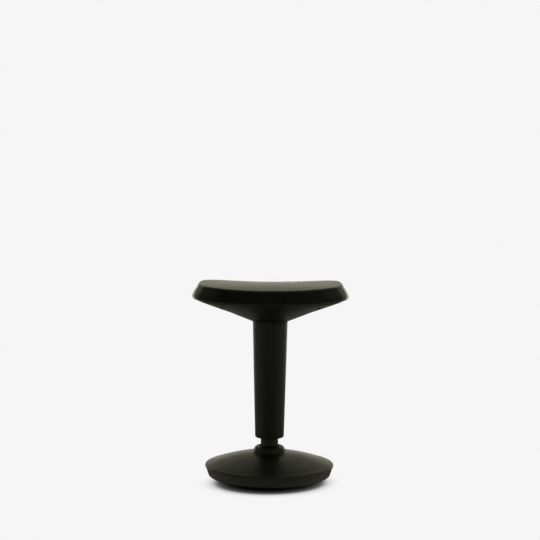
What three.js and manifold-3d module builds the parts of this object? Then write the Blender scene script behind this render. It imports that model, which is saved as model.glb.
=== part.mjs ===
// Wobble stool: a saddle seat on a gas lift, standing on a weighted base with a convex rocker sole.
// Units are millimetres. +Z is up, the front is -Y, and the origin is on the floor under the column.
// The stool is drawn at its lowest height, with the lift resting on its lower stop.

import * as THREE from "three";
import { mergeVertices } from "three/addons/utils/BufferGeometryUtils.js";
import Module from "manifold-3d";

const wasm = await Module();
wasm.setup();

// Clearances and overruns
const seatGap = 0.3; // between pieces that rest on each other
const runningGap = 0.4; // round a shaft, so that the flats of its facets pass
const cutOverrun = 2; // how far a cutting solid passes the face that it cuts

// Facets round a turned piece
const largeFacets = 36;
const mediumFacets = 28;
const smallFacets = 12;
const screwFacets = 8;
const hexagonFacets = 6;
const bendSteps = 3;
const cornerSteps = 4;

// Seat, seen from above and from the side
const seatWidth = 443;
const seatDepth = 380;
const seatPlanPower = 3.5; // 2 is an ellipse, larger is squarer
const seatEdgeHeight = 565.8; // floor to the middle of the front edge
const seatEdgeRise = 9.8; // how much higher the left and right edges are
const seatCrown = 4; // how far the middle stands above its edges
const lipBelowEdge = 34.6; // top edge down to the widest line of the lip, at the middle of the front
const lipRise = 7.6;
const lipUnderside = 4.5; // widest line of the lip down to its lower face
const lipReturn = 7; // how far in the lip's rounding ends at its lower face
const topInset = 26; // lip's widest line in to the start of the flat top

// Board and steel plate under the pad
const boardBelowEdge = 33.8;
const boardThickness = 10;
const boardInset = 31;
const plateWidth = 150;
const plateThickness = 3;
const plateHolePitch = 125;
const channelWidth = 40;
const channelDepth = 90;
const channelDrop = 22.7; // underside of the plate down to the web
const channelWall = 3;
const webRadius = 42;
const webThickness = 3;
const socketRadius = 19;
const socketLength = 36;

// Underside shell and funnel
const shellWall = 2.5;
const shellEdgeInset = 16; // the lip stands this far out past the shell
const shellEdgeDrop = 8.8; // board's underside down to the shell's edge at the front
const shellEdgeRise = 7.3;
const shellFacets = 36;
const shellRings = 3;
const shellCrown = 0.5; // how far the slope bulges past a straight line
const funnelInset = 72; // widest line of the lip at the front in to the edge of the funnel
const funnelTopBelowBoard = 39.4;
const funnelFootRadius = 53;
const funnelFootRise = 5; // seam up to the start of the cone
const funnelWall = 2.5;
const funnelLapWidth = 9;
const funnelLapLift = 3.2;
const funnelLapThickness = 2.3;

// Column cover
const seamBelowBoard = 70;
const coverTopRadius = 50;
const coverFootRadius = 41.35;
const coverFoot = 131; // floor to the foot of the cover
const coverFootRounding = 5;
const coverWall = 2.6;
const coverSpigotInset = 3.6;
const coverNeckStep = 16; // seam up to the narrower neck
const coverNeckRadius = 45;
const coverRoofThickness = 3;
const coverRoofGap = 0.5;
const coverRoofHole = 20.2;
const endRingHeight = 9;
const endRingLift = 1.4;
const endRingGap = 0.8; // round the outer tube

// Gas lift
const outerTubeRadius = 25;
const outerTubeFootRadius = 24.3;
const outerTubeWall = 1.5;
const outerTubeFootHeight = 15; // floor to the bottom of the tube
const outerTubeFloor = 3;
const tubeBelowSocket = 35; // foot of the taper socket down to the top of the tube
const tubeAboveCoverFoot = 51; // tube left inside the cover at full height
const guideLength = 100;
const guideFlange = 3;
const cylinderRadius = 14;
const cylinderWall = 1.5;
const cylinderTaperLength = 41;
const cylinderTaperRadius = 13.1;
const cylinderRoof = 10;
const cylinderAboveWeb = 2;
const cylinderInGuide = 64; // length left in the guide at full height
const rodRadius = 5;
const rodFootRadius = 4;
const rodFootLength = 17.2;
const glandLift = 3;
const glandLength = 18;
const pistonLength = 22;
const pistonMargin = 14; // gland to piston at full height
const valveBodyLength = 24;
const valvePinRadius = 2.5;
const valvePinLength = 38;
const valvePinAboveCylinder = 5.7;

// Thrust bearing and rod end
const bearingRadius = 17;
const bearingBore = 7;
const raceThickness = 2;
const cageInnerRadius = 9.4;
const cageOuterRadius = 15.4;
const cageThickness = 1.6;
const ballRadius = 2;
const ballCount = 8;
const ballFacets = 6;
const bumperRadius = 14;
const bumperHeight = 15;
const bumperTaper = 3;
const rodWasherRadius = 9;
const rodWasherThickness = 1.8;
const rodClipRadius = 7.5;
const rodClipThickness = 1.4;

// Height release
const leverPivotOffset = 24; // column axis to the pivot pin
const leverWidth = 10;
const leverThickness = 5;
const leverNose = 7; // length in front of the column axis
const leverTipInset = 49; // widest line of the lip in to the rear end of the arm
const leverBossRadius = 8;
const leverPinRadius = 3;
const leverPinHead = 2;
const leverPinHeadRadius = 4.6;
const paddleWidth = 68;
const paddleNearInset = 68; // widest line of the lip in to the near and the far side of the paddle
const paddleFarInset = 41;
const paddleGap = 1.2;
const paddleStemLength = 15;
const paddleStemWall = 2.6;

// Fasteners of the seat
const plateBoltRadius = 3;
const plateBoltHeadRadius = 5.6;
const plateBoltHeadHeight = 4;
const teeNutBarrelRadius = 4.6;
const teeNutFlangeRadius = 10;
const teeNutFlangeThickness = 1.2;
const teeNutLength = 9;
const shellScrewRadius = 2;
const shellScrewHeadRadius = 4;
const shellScrewHeadHeight = 2.6;
const shellScrewGrip = 7.5;
const shellBossRadius = 7;
const shellBossDepth = 10; // board's underside down to the seat of the screw's head
const shellScrewShare = 0.58; // place between the funnel and the shell's edge
const coverScrewRadius = 1.9;
const coverScrewHeadRadius = 4;
const coverScrewHeadHeight = 2.4;
const coverScrewCircle = 32;
const coverScrewCount = 3;
const coverScrewPast = 2;

// Base: rim, dome and collar
const rimRadius = 185;
const rimHeight = 53.7;
const rimRounding = 4;
const domeSlopeRise = 33.4; // rim up to the foot of the collar's fillet
const domeFilletRadius = 60;
const domeFilletWidth = 13.5;
const domeTopHeight = 93.4;
const domeCrown = 1.4;
const domeWall = 3.2;
const domeHoleRadius = 40;
const grooveHeight = 47.1;
const grooveWidth = 1.4;
const grooveInset = 2.6;
const tongueLength = 3; // top of the band down to the end of the dome's locating tongue
const tongueWidth = 2.4;
const tongueGap = 0.7;
const collarGap = 3.5; // round the outer tube
const collarHeight = 12.6;
const collarFootRadius = 45.9;
const collarCrestRadius = 34.5;
const collarInnerDrop = 4;
const collarShoulderWidth = 2.6; // how far the shoulder stands out past the middle of the ring
const collarSpigotRadius = 39.5;
const collarSpigotLength = 9;
const collarSpigotWall = 4;
const collarBeadWidth = 1.4;
const collarBeadHeight = 2.6;

// Base: lower shell, sole, ballast and hub
const soleFlatRadius = 60;
const soleCurve = 320; // radius of the rocking surface outside the flat
const soleRadius = 158;
const soleThickness = 4;
const rockerSteps = 4;
const bandFootRadius = 174.5;
const bandFootHeight = 23.6;
const bandCornerInset = 5.5;
const lowerWall = 3.5;
const ribRadius = 104;
const ribWidth = 15;
const ballastRadius = 118;
const ballastBore = 28.4;
const ballastThickness = 17;
const ballastFootHeight = 14;
const hubRadius = 27.5;
const hubTopHeight = 86;
const hubFootHeight = 14.4;
const hubFlangeRadius = 62;
const hubFlangeThickness = 6;
const hubBoltCircle = 46;
const hubBoltRadius = 4;
const hubBoltHeadRadius = 7.2;
const hubBoltHeadHeight = 5.3;
const hubBoltGrip = 16;
const hubBoltCount = 4;
const baseScrewCount = 4;
const baseScrewRadius = 3;
const baseScrewHeadRadius = 6;
const baseScrewHeadHeight = 2.6;
const baseScrewGrip = 24; // length inside the dome's boss
const domeBossRadius = 8;
const domeBossBlind = 4;

// Heights that follow from the sizes above
const boardBottom = seatEdgeHeight - boardBelowEdge;
const boardTop = boardBottom + boardThickness;
const plateTop = boardBottom - seatGap;
const plateBottom = plateTop - plateThickness;
const webTop = plateBottom - channelDrop;
const webBottom = webTop - webThickness;
const socketFoot = webBottom - socketLength;
const seamHeight = boardBottom - seamBelowBoard;
const lipHeight = seatEdgeHeight - lipBelowEdge;
const tubeTop = socketFoot - tubeBelowSocket;
const liftStroke = tubeTop - tubeAboveCoverFoot - coverFoot;
const cylinderFoot = tubeTop - cylinderInGuide - liftStroke;
const cylinderTop = webTop + cylinderAboveWeb;
const funnelTop = boardBottom - funnelTopBelowBoard;
const valvePinTop = cylinderTop + valvePinAboveCylinder;
const leverBottom = valvePinTop + seatGap;
const leverPivotHeight = leverBottom + leverThickness / 2;
const funnelRadius = seatDepth / 2 - funnelInset;
const leverReach = seatDepth / 2 - leverTipInset;
const paddleNear = seatDepth / 2 - paddleNearInset;
const paddleFar = seatDepth / 2 - paddleFarInset;
const screwSeatHeight = boardBottom - shellBossDepth;
const hubFlangeFoot = ballastFootHeight + ballastThickness + seatGap;
const hubFlangeTop = hubFlangeFoot + hubFlangeThickness;
const baseScrewHeadLift = rockerHeight(ribRadius + baseScrewHeadRadius) + soleThickness + 2 * seatGap;

// Shape helpers

// A mesh's geometry as a solid that can be cut and joined.
function toSolid(geometry) {
  const bare = geometry.clone();
  bare.deleteAttribute("normal");
  bare.deleteAttribute("uv");
  const merged = mergeVertices(bare);
  return new wasm.Manifold(
    new wasm.Mesh({
      numProp: 3,
      vertProperties: merged.attributes.position.array,
      triVerts: new Uint32Array(merged.index.array),
    }),
  );
}

function toGeometry(solid) {
  const mesh = solid.getMesh();
  const geometry = new THREE.BufferGeometry();
  geometry.setAttribute("position", new THREE.BufferAttribute(mesh.vertProperties, 3));
  geometry.setIndex(new THREE.BufferAttribute(mesh.triVerts, 1));
  geometry.computeVertexNormals();
  return geometry;
}

function cut(geometry, tools) {
  return toGeometry(tools.reduce((solid, tool) => solid.subtract(toSolid(tool)), toSolid(geometry)));
}

function join(geometry, additions) {
  return toGeometry(additions.reduce((solid, more) => solid.add(toSolid(more)), toSolid(geometry)));
}

function overlapOf(geometry, other) {
  return toGeometry(toSolid(geometry).intersect(toSolid(other)));
}

// A profile of [radius, height] points turned about the Z axis. A profile that leaves the axis is closed.
function turned(profile, facets) {
  const points = profile.map(([radius, height]) => new THREE.Vector2(radius, height));
  if (points[0].x > 0) points.push(points[0].clone());
  if (THREE.ShapeUtils.area(points) < 0) points.reverse();
  return new THREE.LatheGeometry(points, facets).rotateX(Math.PI / 2);
}

function rodAlongZ(radius, foot, top, facets) {
  return turned([[0, foot], [radius, foot], [radius, top], [0, top]], facets);
}

function ringAlongZ(inner, outer, foot, top, facets) {
  return turned([[inner, foot], [outer, foot], [outer, top], [inner, top]], facets);
}

function rodAlongX(radius, left, right, facets) {
  return rodAlongZ(radius, left, right, facets).rotateY(Math.PI / 2);
}

function block(x0, x1, y0, y1, z0, z1) {
  const box = new THREE.BoxGeometry(x1 - x0, y1 - y0, z1 - z0);
  return box.translate((x0 + x1) / 2, (y0 + y1) / 2, (z0 + z1) / 2);
}

// Points of a two-dimensional curve as [radius, height] pairs.
function curvePoints(curve, steps) {
  return curve.getPoints(steps).map((point) => [point.x, point.y]);
}

function bend(start, corner, end, steps) {
  const pull = new THREE.QuadraticBezierCurve(
    new THREE.Vector2(...start),
    new THREE.Vector2(...corner),
    new THREE.Vector2(...end),
  );
  return curvePoints(pull, steps);
}

// A signed power, for the squared-off oval of the seat's plan.
function signedPower(value, power) {
  return Math.sign(value) * Math.abs(value) ** power;
}

// One [x, y] point of the seat's plan, drawn in by an inset from the widest line.
function planPoint(turn, inset) {
  const power = 2 / seatPlanPower;
  return [
    (seatWidth / 2 - inset) * signedPower(Math.cos(turn), power),
    (seatDepth / 2 - inset) * signedPower(Math.sin(turn), power),
  ];
}

function turnAt(index, count) {
  return (2 * Math.PI * index) / count;
}

// A closed skin over rings of points from the bottom up, with its two ends filled by fans.
function skinned(rings) {
  const count = rings[0].length;
  const positions = rings.flat(2);
  const faces = [];
  rings.slice(1).forEach((ring, row) => {
    for (let i = 0; i < count; i += 1) {
      const a = row * count + i;
      const b = row * count + ((i + 1) % count);
      faces.push(a, b, a + count, b, b + count, a + count);
    }
  });
  const addFan = (ring, first, flip) => {
    const middle = positions.length / 3;
    const total = ring.reduce((sum, point) => sum.map((value, axis) => value + point[axis]), [0, 0, 0]);
    positions.push(...total.map((value) => value / count));
    for (let i = 0; i < count; i += 1) {
      const edge = [first + i, first + ((i + 1) % count)];
      faces.push(middle, ...(flip ? edge.reverse() : edge));
    }
  };
  addFan(rings[0], 0, true);
  addFan(rings[rings.length - 1], (rings.length - 1) * count, false);
  const geometry = new THREE.BufferGeometry();
  geometry.setAttribute("position", new THREE.Float32BufferAttribute(positions, 3));
  geometry.setIndex(faces);
  geometry.computeVertexNormals();
  return geometry;
}

// Finishes
const finishes = {
  pad: { color: 0x1b1b17, roughness: 0.55, metalness: 0 },
  shell: { color: 0x171713, roughness: 0.5, metalness: 0 },
  rubber: { color: 0x121210, roughness: 0.85, metalness: 0 },
  plywood: { color: 0xb08a5a, roughness: 0.65, metalness: 0 },
  blackSteel: { color: 0x1c1c1a, roughness: 0.42, metalness: 0.3 },
  brightSteel: { color: 0x9a9a98, roughness: 0.35, metalness: 0.9 },
  zincSteel: { color: 0x8b8c88, roughness: 0.45, metalness: 0.9 },
  castIron: { color: 0x3a3a38, roughness: 0.75, metalness: 0.7 },
  guidePlastic: { color: 0xcfcdc4, roughness: 0.6, metalness: 0 },
  brass: { color: 0xb59a55, roughness: 0.35, metalness: 0.9 },
};

function piece(name, geometry, finish) {
  const mesh = new THREE.Mesh(geometry, new THREE.MeshStandardMaterial(finishes[finish]));
  mesh.name = name;
  return mesh;
}

// Copies of a fastener on a circle, numbered from 1.
function onCircle(name, geometry, finish, circle, count, startTurn) {
  return Array.from({ length: count }, (_, index) => {
    const mesh = piece(name + "_" + (index + 1), geometry.clone(), finish);
    const turn = startTurn + turnAt(index, count);
    mesh.position.set(circle * Math.cos(turn), circle * Math.sin(turn), 0);
    return mesh;
  });
}

// The holes for such fasteners, as cutting solids.
function holesOnCircle(hole, circle, count, startTurn) {
  return Array.from({ length: count }, (_, index) => {
    const turn = startTurn + turnAt(index, count);
    return hole.clone().translate(circle * Math.cos(turn), circle * Math.sin(turn), 0);
  });
}

// A hole repeated at a list of [x, y] places.
function holesAt(hole, places) {
  return places.map(([x, y]) => hole.clone().translate(x, y, 0));
}

// Rocking underside of the base: flat in the middle, then one large curve.
function rockerHeight(radius) {
  const past = Math.max(0, radius - soleFlatRadius);
  return soleCurve - Math.sqrt(soleCurve ** 2 - past ** 2);
}

// Points along the rocking curve at a lift above it, from the middle outwards.
function rockerLine(toRadius, lift) {
  const points = [[0, lift], [soleFlatRadius, lift]];
  for (let i = 1; i <= rockerSteps; i += 1) {
    const radius = soleFlatRadius + ((toRadius - soleFlatRadius) * i) / rockerSteps;
    points.push([radius, rockerHeight(radius) + lift]);
  }
  return points;
}

// Base pieces

function makeRockerSole() {
  const outside = rockerLine(soleRadius, 0);
  const inside = rockerLine(soleRadius, soleThickness).reverse();
  return piece("rocker_sole", turned([...outside, ...inside], largeFacets), "rubber");
}

const baseScrewTurn = Math.PI / 4;

// Outer radius of the leaning band between the base's lower corner and its rim.
function bandRadiusAt(height) {
  const share = (height - bandFootHeight) / (rimHeight - bandFootHeight);
  return bandFootRadius + (rimRadius - bandFootRadius) * share;
}

// Bowl with the band that shows below the groove, and a round rib that carries the ballast.
function makeLowerShell() {
  const floorLift = soleThickness + seatGap;
  const floorTop = floorLift + lowerWall;
  const edge = soleRadius + seatGap;
  const ribInner = ribRadius - ribWidth / 2;
  const ribOuter = ribRadius + ribWidth / 2;
  const ribTop = ballastFootHeight - seatGap;
  const bandTop = grooveHeight - grooveWidth / 2;
  const bandTopRadius = bandRadiusAt(bandTop);
  const cornerRadius = bandFootRadius - bandCornerInset / 2;
  const outline = [
    ...rockerLine(edge, floorLift),
    [edge, rockerHeight(edge)],
    ...bend(
      [edge + seatGap, rockerHeight(edge + seatGap)],
      [cornerRadius, rockerHeight(cornerRadius)],
      [bandFootRadius, bandFootHeight],
      cornerSteps,
    ),
    [bandTopRadius, bandTop],
    [bandTopRadius - lowerWall, bandTop],
    [bandFootRadius - lowerWall, bandFootHeight + lowerWall],
    ...rockerLine(edge, floorTop)
      .filter(([radius]) => radius > ribOuter)
      .reverse(),
    [ribOuter, rockerHeight(ribOuter) + floorTop],
    [ribOuter, ribTop],
    [ribInner, ribTop],
    [ribInner, rockerHeight(ribInner) + floorTop],
    [soleFlatRadius, floorTop],
    [0, floorTop],
  ];
  const hole = rodAlongZ(baseScrewRadius + runningGap, 0, ribTop + cutOverrun, screwFacets);
  const counterbore = rodAlongZ(
    baseScrewHeadRadius + runningGap,
    0,
    baseScrewHeadLift + baseScrewHeadHeight + seatGap,
    screwFacets,
  );
  const tools = [hole, counterbore].flatMap((tool) =>
    holesOnCircle(tool, ribRadius, baseScrewCount, baseScrewTurn),
  );
  return piece("lower_shell", cut(turned(outline, largeFacets), tools), "shell");
}

function makeBallast() {
  const top = ballastFootHeight + ballastThickness;
  const ring = ringAlongZ(ballastBore, ballastRadius, ballastFootHeight, top, mediumFacets);
  const screwHole = rodAlongZ(
    baseScrewRadius + runningGap,
    ballastFootHeight - cutOverrun,
    top + cutOverrun,
    screwFacets,
  );
  const boltHole = rodAlongZ(
    hubBoltRadius + seatGap,
    ballastFootHeight - cutOverrun,
    top + cutOverrun,
    screwFacets,
  );
  const tools = [
    ...holesOnCircle(screwHole, ribRadius, baseScrewCount, baseScrewTurn),
    ...holesOnCircle(boltHole, hubBoltCircle, hubBoltCount, 0),
  ];
  return piece("ballast_weight", cut(ring, tools), "castIron");
}

// Radius of the outer tube, which narrows where it sits in the hub.
function tubeRadiusAt(height) {
  const share = (height - outerTubeFootHeight) / (hubTopHeight - outerTubeFootHeight);
  const grown = outerTubeFootRadius + (outerTubeRadius - outerTubeFootRadius) * share;
  return Math.min(outerTubeRadius, grown);
}

function makeHubSocket() {
  const boreFoot = tubeRadiusAt(hubFootHeight) + seatGap;
  const boreTop = outerTubeRadius + seatGap;
  const outline = [
    [boreFoot, hubFootHeight],
    [hubRadius, hubFootHeight],
    [hubRadius, hubFlangeFoot],
    [hubFlangeRadius, hubFlangeFoot],
    [hubFlangeRadius, hubFlangeTop],
    [hubRadius, hubFlangeTop],
    [hubRadius, hubTopHeight],
    [boreTop, hubTopHeight],
  ];
  const hole = rodAlongZ(
    hubBoltRadius + seatGap,
    hubFlangeFoot - cutOverrun,
    hubFlangeTop + cutOverrun,
    screwFacets,
  );
  const tools = holesOnCircle(hole, hubBoltCircle, hubBoltCount, 0);
  return piece("hub_socket", cut(turned(outline, mediumFacets), tools), "blackSteel");
}

function makeHubBolts() {
  const headFoot = hubFlangeTop + seatGap;
  const shank = rodAlongZ(hubBoltRadius, hubFlangeFoot - hubBoltGrip, headFoot + seatGap, screwFacets);
  const head = rodAlongZ(hubBoltHeadRadius, headFoot, headFoot + hubBoltHeadHeight, hexagonFacets);
  return onCircle("hub_bolt", join(shank, [head]), "zincSteel", hubBoltCircle, hubBoltCount, 0);
}

function makeBaseScrews() {
  const headTop = baseScrewHeadLift + baseScrewHeadHeight;
  const shankTop = ballastFootHeight + ballastThickness + baseScrewGrip;
  const shank = rodAlongZ(baseScrewRadius, headTop - seatGap, shankTop, screwFacets);
  const head = rodAlongZ(baseScrewHeadRadius, baseScrewHeadLift, headTop, screwFacets);
  const screw = join(shank, [head]);
  return onCircle("base_screw", screw, "zincSteel", ribRadius, baseScrewCount, baseScrewTurn);
}

// Upper line of the dome from the rim in to the fillet under the collar.
const domeSlopeStart = rimRadius - rimRounding;
const domeSlopeEnd = domeFilletRadius;
const rimCrownLift = rimRounding / 4;
const domeSlopeFoot = rimHeight + rimCrownLift;
const domeSlopeTop = rimHeight + domeSlopeRise;

function domeHeight(radius) {
  const share = (domeSlopeStart - radius) / (domeSlopeStart - domeSlopeEnd);
  const line = domeSlopeFoot + (domeSlopeTop - domeSlopeFoot) * share;
  return line + domeCrown * 4 * share * (1 - share);
}

function domeLine(drop, fromRadius, toRadius, steps) {
  return Array.from({ length: steps + 1 }, (_, index) => {
    const radius = fromRadius + ((toRadius - fromRadius) * index) / steps;
    return [radius, domeHeight(radius) - drop];
  });
}

function makeDomeCover() {
  const skirtFoot = grooveHeight + grooveWidth / 2;
  const skirtRadius = bandRadiusAt(skirtFoot);
  const bandTop = grooveHeight - grooveWidth / 2;
  const tongueTop = bandTop + seatGap;
  const tongueFoot = bandTop - tongueLength;
  const tongueRadius = bandRadiusAt(tongueFoot) - lowerWall - tongueGap;
  const filletEnd = domeFilletRadius - domeFilletWidth;
  const outline = [
    [skirtRadius, skirtFoot],
    ...bend(
      [rimRadius, rimHeight - rimCrownLift],
      [rimRadius, rimHeight + rimCrownLift],
      [domeSlopeStart, domeSlopeFoot],
      bendSteps,
    ),
    ...domeLine(0, domeSlopeStart, domeSlopeEnd, bendSteps).slice(1),
    ...bend(
      [domeSlopeEnd, domeSlopeTop],
      [filletEnd + domeWall, domeHeight(filletEnd + domeWall)],
      [filletEnd, domeTopHeight],
      bendSteps,
    ).slice(1),
    [domeHoleRadius, domeTopHeight],
    [domeHoleRadius, domeTopHeight - domeWall],
    ...domeLine(domeWall, domeSlopeEnd, domeSlopeStart - domeWall, bendSteps - 1),
    [tongueRadius - tongueWidth, rimHeight - domeWall],
    [tongueRadius - tongueWidth, tongueFoot],
    [tongueRadius, tongueFoot],
    [bandRadiusAt(bandTop) - lowerWall - tongueGap, tongueTop],
    [skirtRadius - grooveInset, tongueTop],
    [skirtRadius - grooveInset, skirtFoot],
  ];
  const bossFoot = ballastFootHeight + ballastThickness + seatGap;
  const bossTop = domeHeight(ribRadius + domeBossRadius) - domeWall / 2;
  const boss = rodAlongZ(domeBossRadius, bossFoot, bossTop, smallFacets);
  const bosses = holesOnCircle(boss, ribRadius, baseScrewCount, baseScrewTurn);
  const bore = rodAlongZ(
    baseScrewRadius + seatGap,
    bossFoot - cutOverrun,
    bossFoot + baseScrewGrip + domeBossBlind,
    screwFacets,
  );
  const bores = holesOnCircle(bore, ribRadius, baseScrewCount, baseScrewTurn);
  return piece("dome_cover", cut(join(turned(outline, largeFacets), bosses), bores), "shell");
}

const collarShoulderShare = 0.42;

// Rounded ring that trims the middle of the dome, with a snap bead below the dome's wall.
function makeCollarRing() {
  const foot = domeTopHeight + seatGap;
  const crest = domeTopHeight + collarHeight;
  const inner = outerTubeRadius + collarGap;
  const spigotFoot = domeTopHeight - collarSpigotLength;
  const spigotInner = collarSpigotRadius - collarSpigotWall;
  const beadTop = domeTopHeight - domeWall - seatGap;
  const shoulder = [
    (collarCrestRadius + collarFootRadius) / 2 + collarShoulderWidth,
    crest - collarHeight * collarShoulderShare,
  ];
  const outline = [
    ...bend([inner, crest - collarInnerDrop], [inner, crest], [collarCrestRadius, crest], bendSteps),
    ...bend([collarCrestRadius, crest], shoulder, [collarFootRadius, foot], bendSteps).slice(1),
    [collarSpigotRadius, foot],
    [collarSpigotRadius, beadTop],
    [collarSpigotRadius + collarBeadWidth, beadTop],
    [collarSpigotRadius, beadTop - collarBeadHeight],
    [collarSpigotRadius, spigotFoot],
    [spigotInner, spigotFoot],
    [spigotInner, foot],
    [inner, foot + collarSpigotWall],
  ];
  return piece("collar_ring", turned(outline, mediumFacets), "shell");
}

// Gas lift pieces

const bearingFoot = outerTubeFootHeight + outerTubeFloor + seatGap;
const cageMiddle = bearingFoot + raceThickness + seatGap + ballRadius;
const upperRaceFoot = cageMiddle + ballRadius + seatGap;
const upperRaceTop = upperRaceFoot + raceThickness;

function makeOuterTube() {
  const inner = outerTubeRadius - outerTubeWall;
  const innerFoot = outerTubeFootRadius - outerTubeWall;
  const floorTop = outerTubeFootHeight + outerTubeFloor;
  const outline = [
    [bearingBore, outerTubeFootHeight],
    [outerTubeFootRadius, outerTubeFootHeight],
    [outerTubeRadius, hubTopHeight],
    [outerTubeRadius, tubeTop],
    [inner, tubeTop],
    [inner, hubTopHeight],
    [innerFoot, floorTop],
    [bearingBore, floorTop],
  ];
  return piece("outer_tube", turned(outline, mediumFacets), "blackSteel");
}

function makeGuideBush() {
  const inner = cylinderRadius + runningGap;
  const outer = outerTubeRadius - outerTubeWall - seatGap;
  const flangeFoot = tubeTop + seatGap;
  const outline = [
    [inner, tubeTop - guideLength],
    [outer, tubeTop - guideLength],
    [outer, flangeFoot],
    [outerTubeRadius, flangeFoot],
    [outerTubeRadius - outerTubeWall, flangeFoot + guideFlange],
    [inner, flangeFoot + guideFlange],
  ];
  return piece("tube_guide_bush", turned(outline, mediumFacets), "guidePlastic");
}

function makeRace(name, foot, bore) {
  const ring = ringAlongZ(bore, bearingRadius, foot, foot + raceThickness, smallFacets);
  return piece(name, ring, "brightSteel");
}

function makeBallCage() {
  const foot = cageMiddle - cageThickness / 2;
  const ring = ringAlongZ(cageInnerRadius, cageOuterRadius, foot, foot + cageThickness, smallFacets);
  const ball = new THREE.SphereGeometry(ballRadius, ballFacets, ballFacets / 2 + 1);
  ball.translate(0, 0, cageMiddle);
  const circle = (cageInnerRadius + cageOuterRadius) / 2;
  const balls = holesOnCircle(ball, circle, ballCount, 0);
  return piece("bearing_ball_cage", join(ring, balls), "brightSteel");
}

const bumperBarrelShare = 0.7;

function makeBumper() {
  const foot = upperRaceTop + seatGap;
  const outline = [
    [rodRadius + seatGap, foot],
    [bumperRadius, foot],
    [bumperRadius, foot + bumperHeight * bumperBarrelShare],
    [bumperRadius - bumperTaper, foot + bumperHeight],
    [rodRadius + seatGap, foot + bumperHeight],
  ];
  return piece("rubber_bumper", turned(outline, smallFacets), "rubber");
}

const glandTop = cylinderFoot + glandLift + glandLength;
const pistonFoot = glandTop + liftStroke + pistonMargin;
const rodFoot = upperRaceTop + seatGap - rodFootLength;

const rodTopShare = 0.8;

function makePistonRod() {
  const shoulder = upperRaceTop + seatGap;
  const rodTop = pistonFoot + pistonLength * rodTopShare;
  const outline = [
    [0, rodFoot],
    [rodFootRadius, rodFoot],
    [rodFootRadius, shoulder],
    [rodRadius, shoulder],
    [rodRadius, rodTop],
    [0, rodTop],
  ];
  return piece("piston_rod", turned(outline, smallFacets), "brightSteel");
}

// Washer and clip that hold the rod under the floor of the outer tube.
function makeRodEnd() {
  const bore = rodFootRadius + seatGap;
  const washerTop = outerTubeFootHeight - seatGap;
  const washerFoot = washerTop - rodWasherThickness;
  const clipTop = washerFoot - seatGap;
  const washer = ringAlongZ(bore, rodWasherRadius, washerFoot, washerTop, smallFacets);
  const clip = ringAlongZ(bore, rodClipRadius, clipTop - rodClipThickness, clipTop, smallFacets);
  return [piece("rod_washer", washer, "zincSteel"), piece("rod_clip", clip, "brightSteel")];
}

function makePiston() {
  const outer = cylinderRadius - cylinderWall - seatGap;
  const top = pistonFoot + pistonLength;
  const rodTop = pistonFoot + pistonLength * rodTopShare;
  const outline = [
    [rodRadius + seatGap, pistonFoot],
    [outer, pistonFoot],
    [outer, top],
    [0, top],
    [0, rodTop + seatGap],
    [rodRadius + seatGap, rodTop + seatGap],
  ];
  return piece("piston", turned(outline, smallFacets), "brass");
}

function makeGland() {
  const outer = cylinderRadius - cylinderWall - seatGap;
  const ring = ringAlongZ(rodRadius + runningGap, outer, cylinderFoot + glandLift, glandTop, smallFacets);
  return piece("rod_gland", ring, "guidePlastic");
}

const valveSeatShare = 0.8;

function makeCylinder() {
  const inner = cylinderRadius - cylinderWall;
  const taperFoot = cylinderTop - cylinderTaperLength;
  const outline = [
    [inner, cylinderFoot],
    [cylinderRadius, cylinderFoot],
    [cylinderRadius, taperFoot],
    [cylinderTaperRadius, cylinderTop],
    [valvePinRadius + seatGap, cylinderTop],
    [valvePinRadius + seatGap, cylinderTop - cylinderRoof],
    [inner - cylinderWall, cylinderTop - cylinderRoof],
    [inner - cylinderWall, cylinderTop - cylinderTaperLength * valveSeatShare],
    [inner, taperFoot],
  ];
  return piece("pressure_cylinder", turned(outline, mediumFacets), "blackSteel");
}

function makeValveBody() {
  const outer = cylinderRadius - 2 * cylinderWall - seatGap;
  const top = cylinderTop - cylinderRoof - seatGap;
  const bore = valvePinRadius + seatGap;
  const ring = ringAlongZ(bore, outer, top - valveBodyLength, top, smallFacets);
  return piece("valve_body", ring, "brass");
}

function makeValvePin() {
  const pin = rodAlongZ(valvePinRadius, valvePinTop - valvePinLength, valvePinTop, smallFacets);
  return piece("valve_pin", pin, "brightSteel");
}

// Seat pieces

// Heights of the pad's top edge and of its widest line, which both rise towards the sides.
function riseAt(x, rise) {
  return rise * (x / (seatWidth / 2 - topInset)) ** 2;
}

function edgeHeight(x) {
  return seatEdgeHeight + riseAt(x, seatEdgeRise);
}

function lipHeightAt(x) {
  return lipHeight + riseAt(x, lipRise);
}

function padRing(inset, height) {
  return Array.from({ length: shellFacets }, (_, index) => {
    const [x, y] = planPoint(turnAt(index, shellFacets), inset);
    return [x, y, height(x, y)];
  });
}

// How the side of the pad runs from its widest line to the top: shares of the inset and of the height.
const padSideShares = [
  [0, 0],
  [0.1, 0.2],
  [0.28, 0.44],
  [0.55, 0.75],
  [0.69, 0.9],
  [0.8, 0.965],
  [1, 1],
];
// How the lip rolls under: shares of its lower face's width and of its depth.
const padLipShares = [[1, 1], [0.42, 1], [0.12, 0.72], [0.02, 0.34]];
// Rings of the top, as shares of the way in to the middle.
const padTopShares = [0.16, 0.36, 0.58, 0.8];

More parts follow.
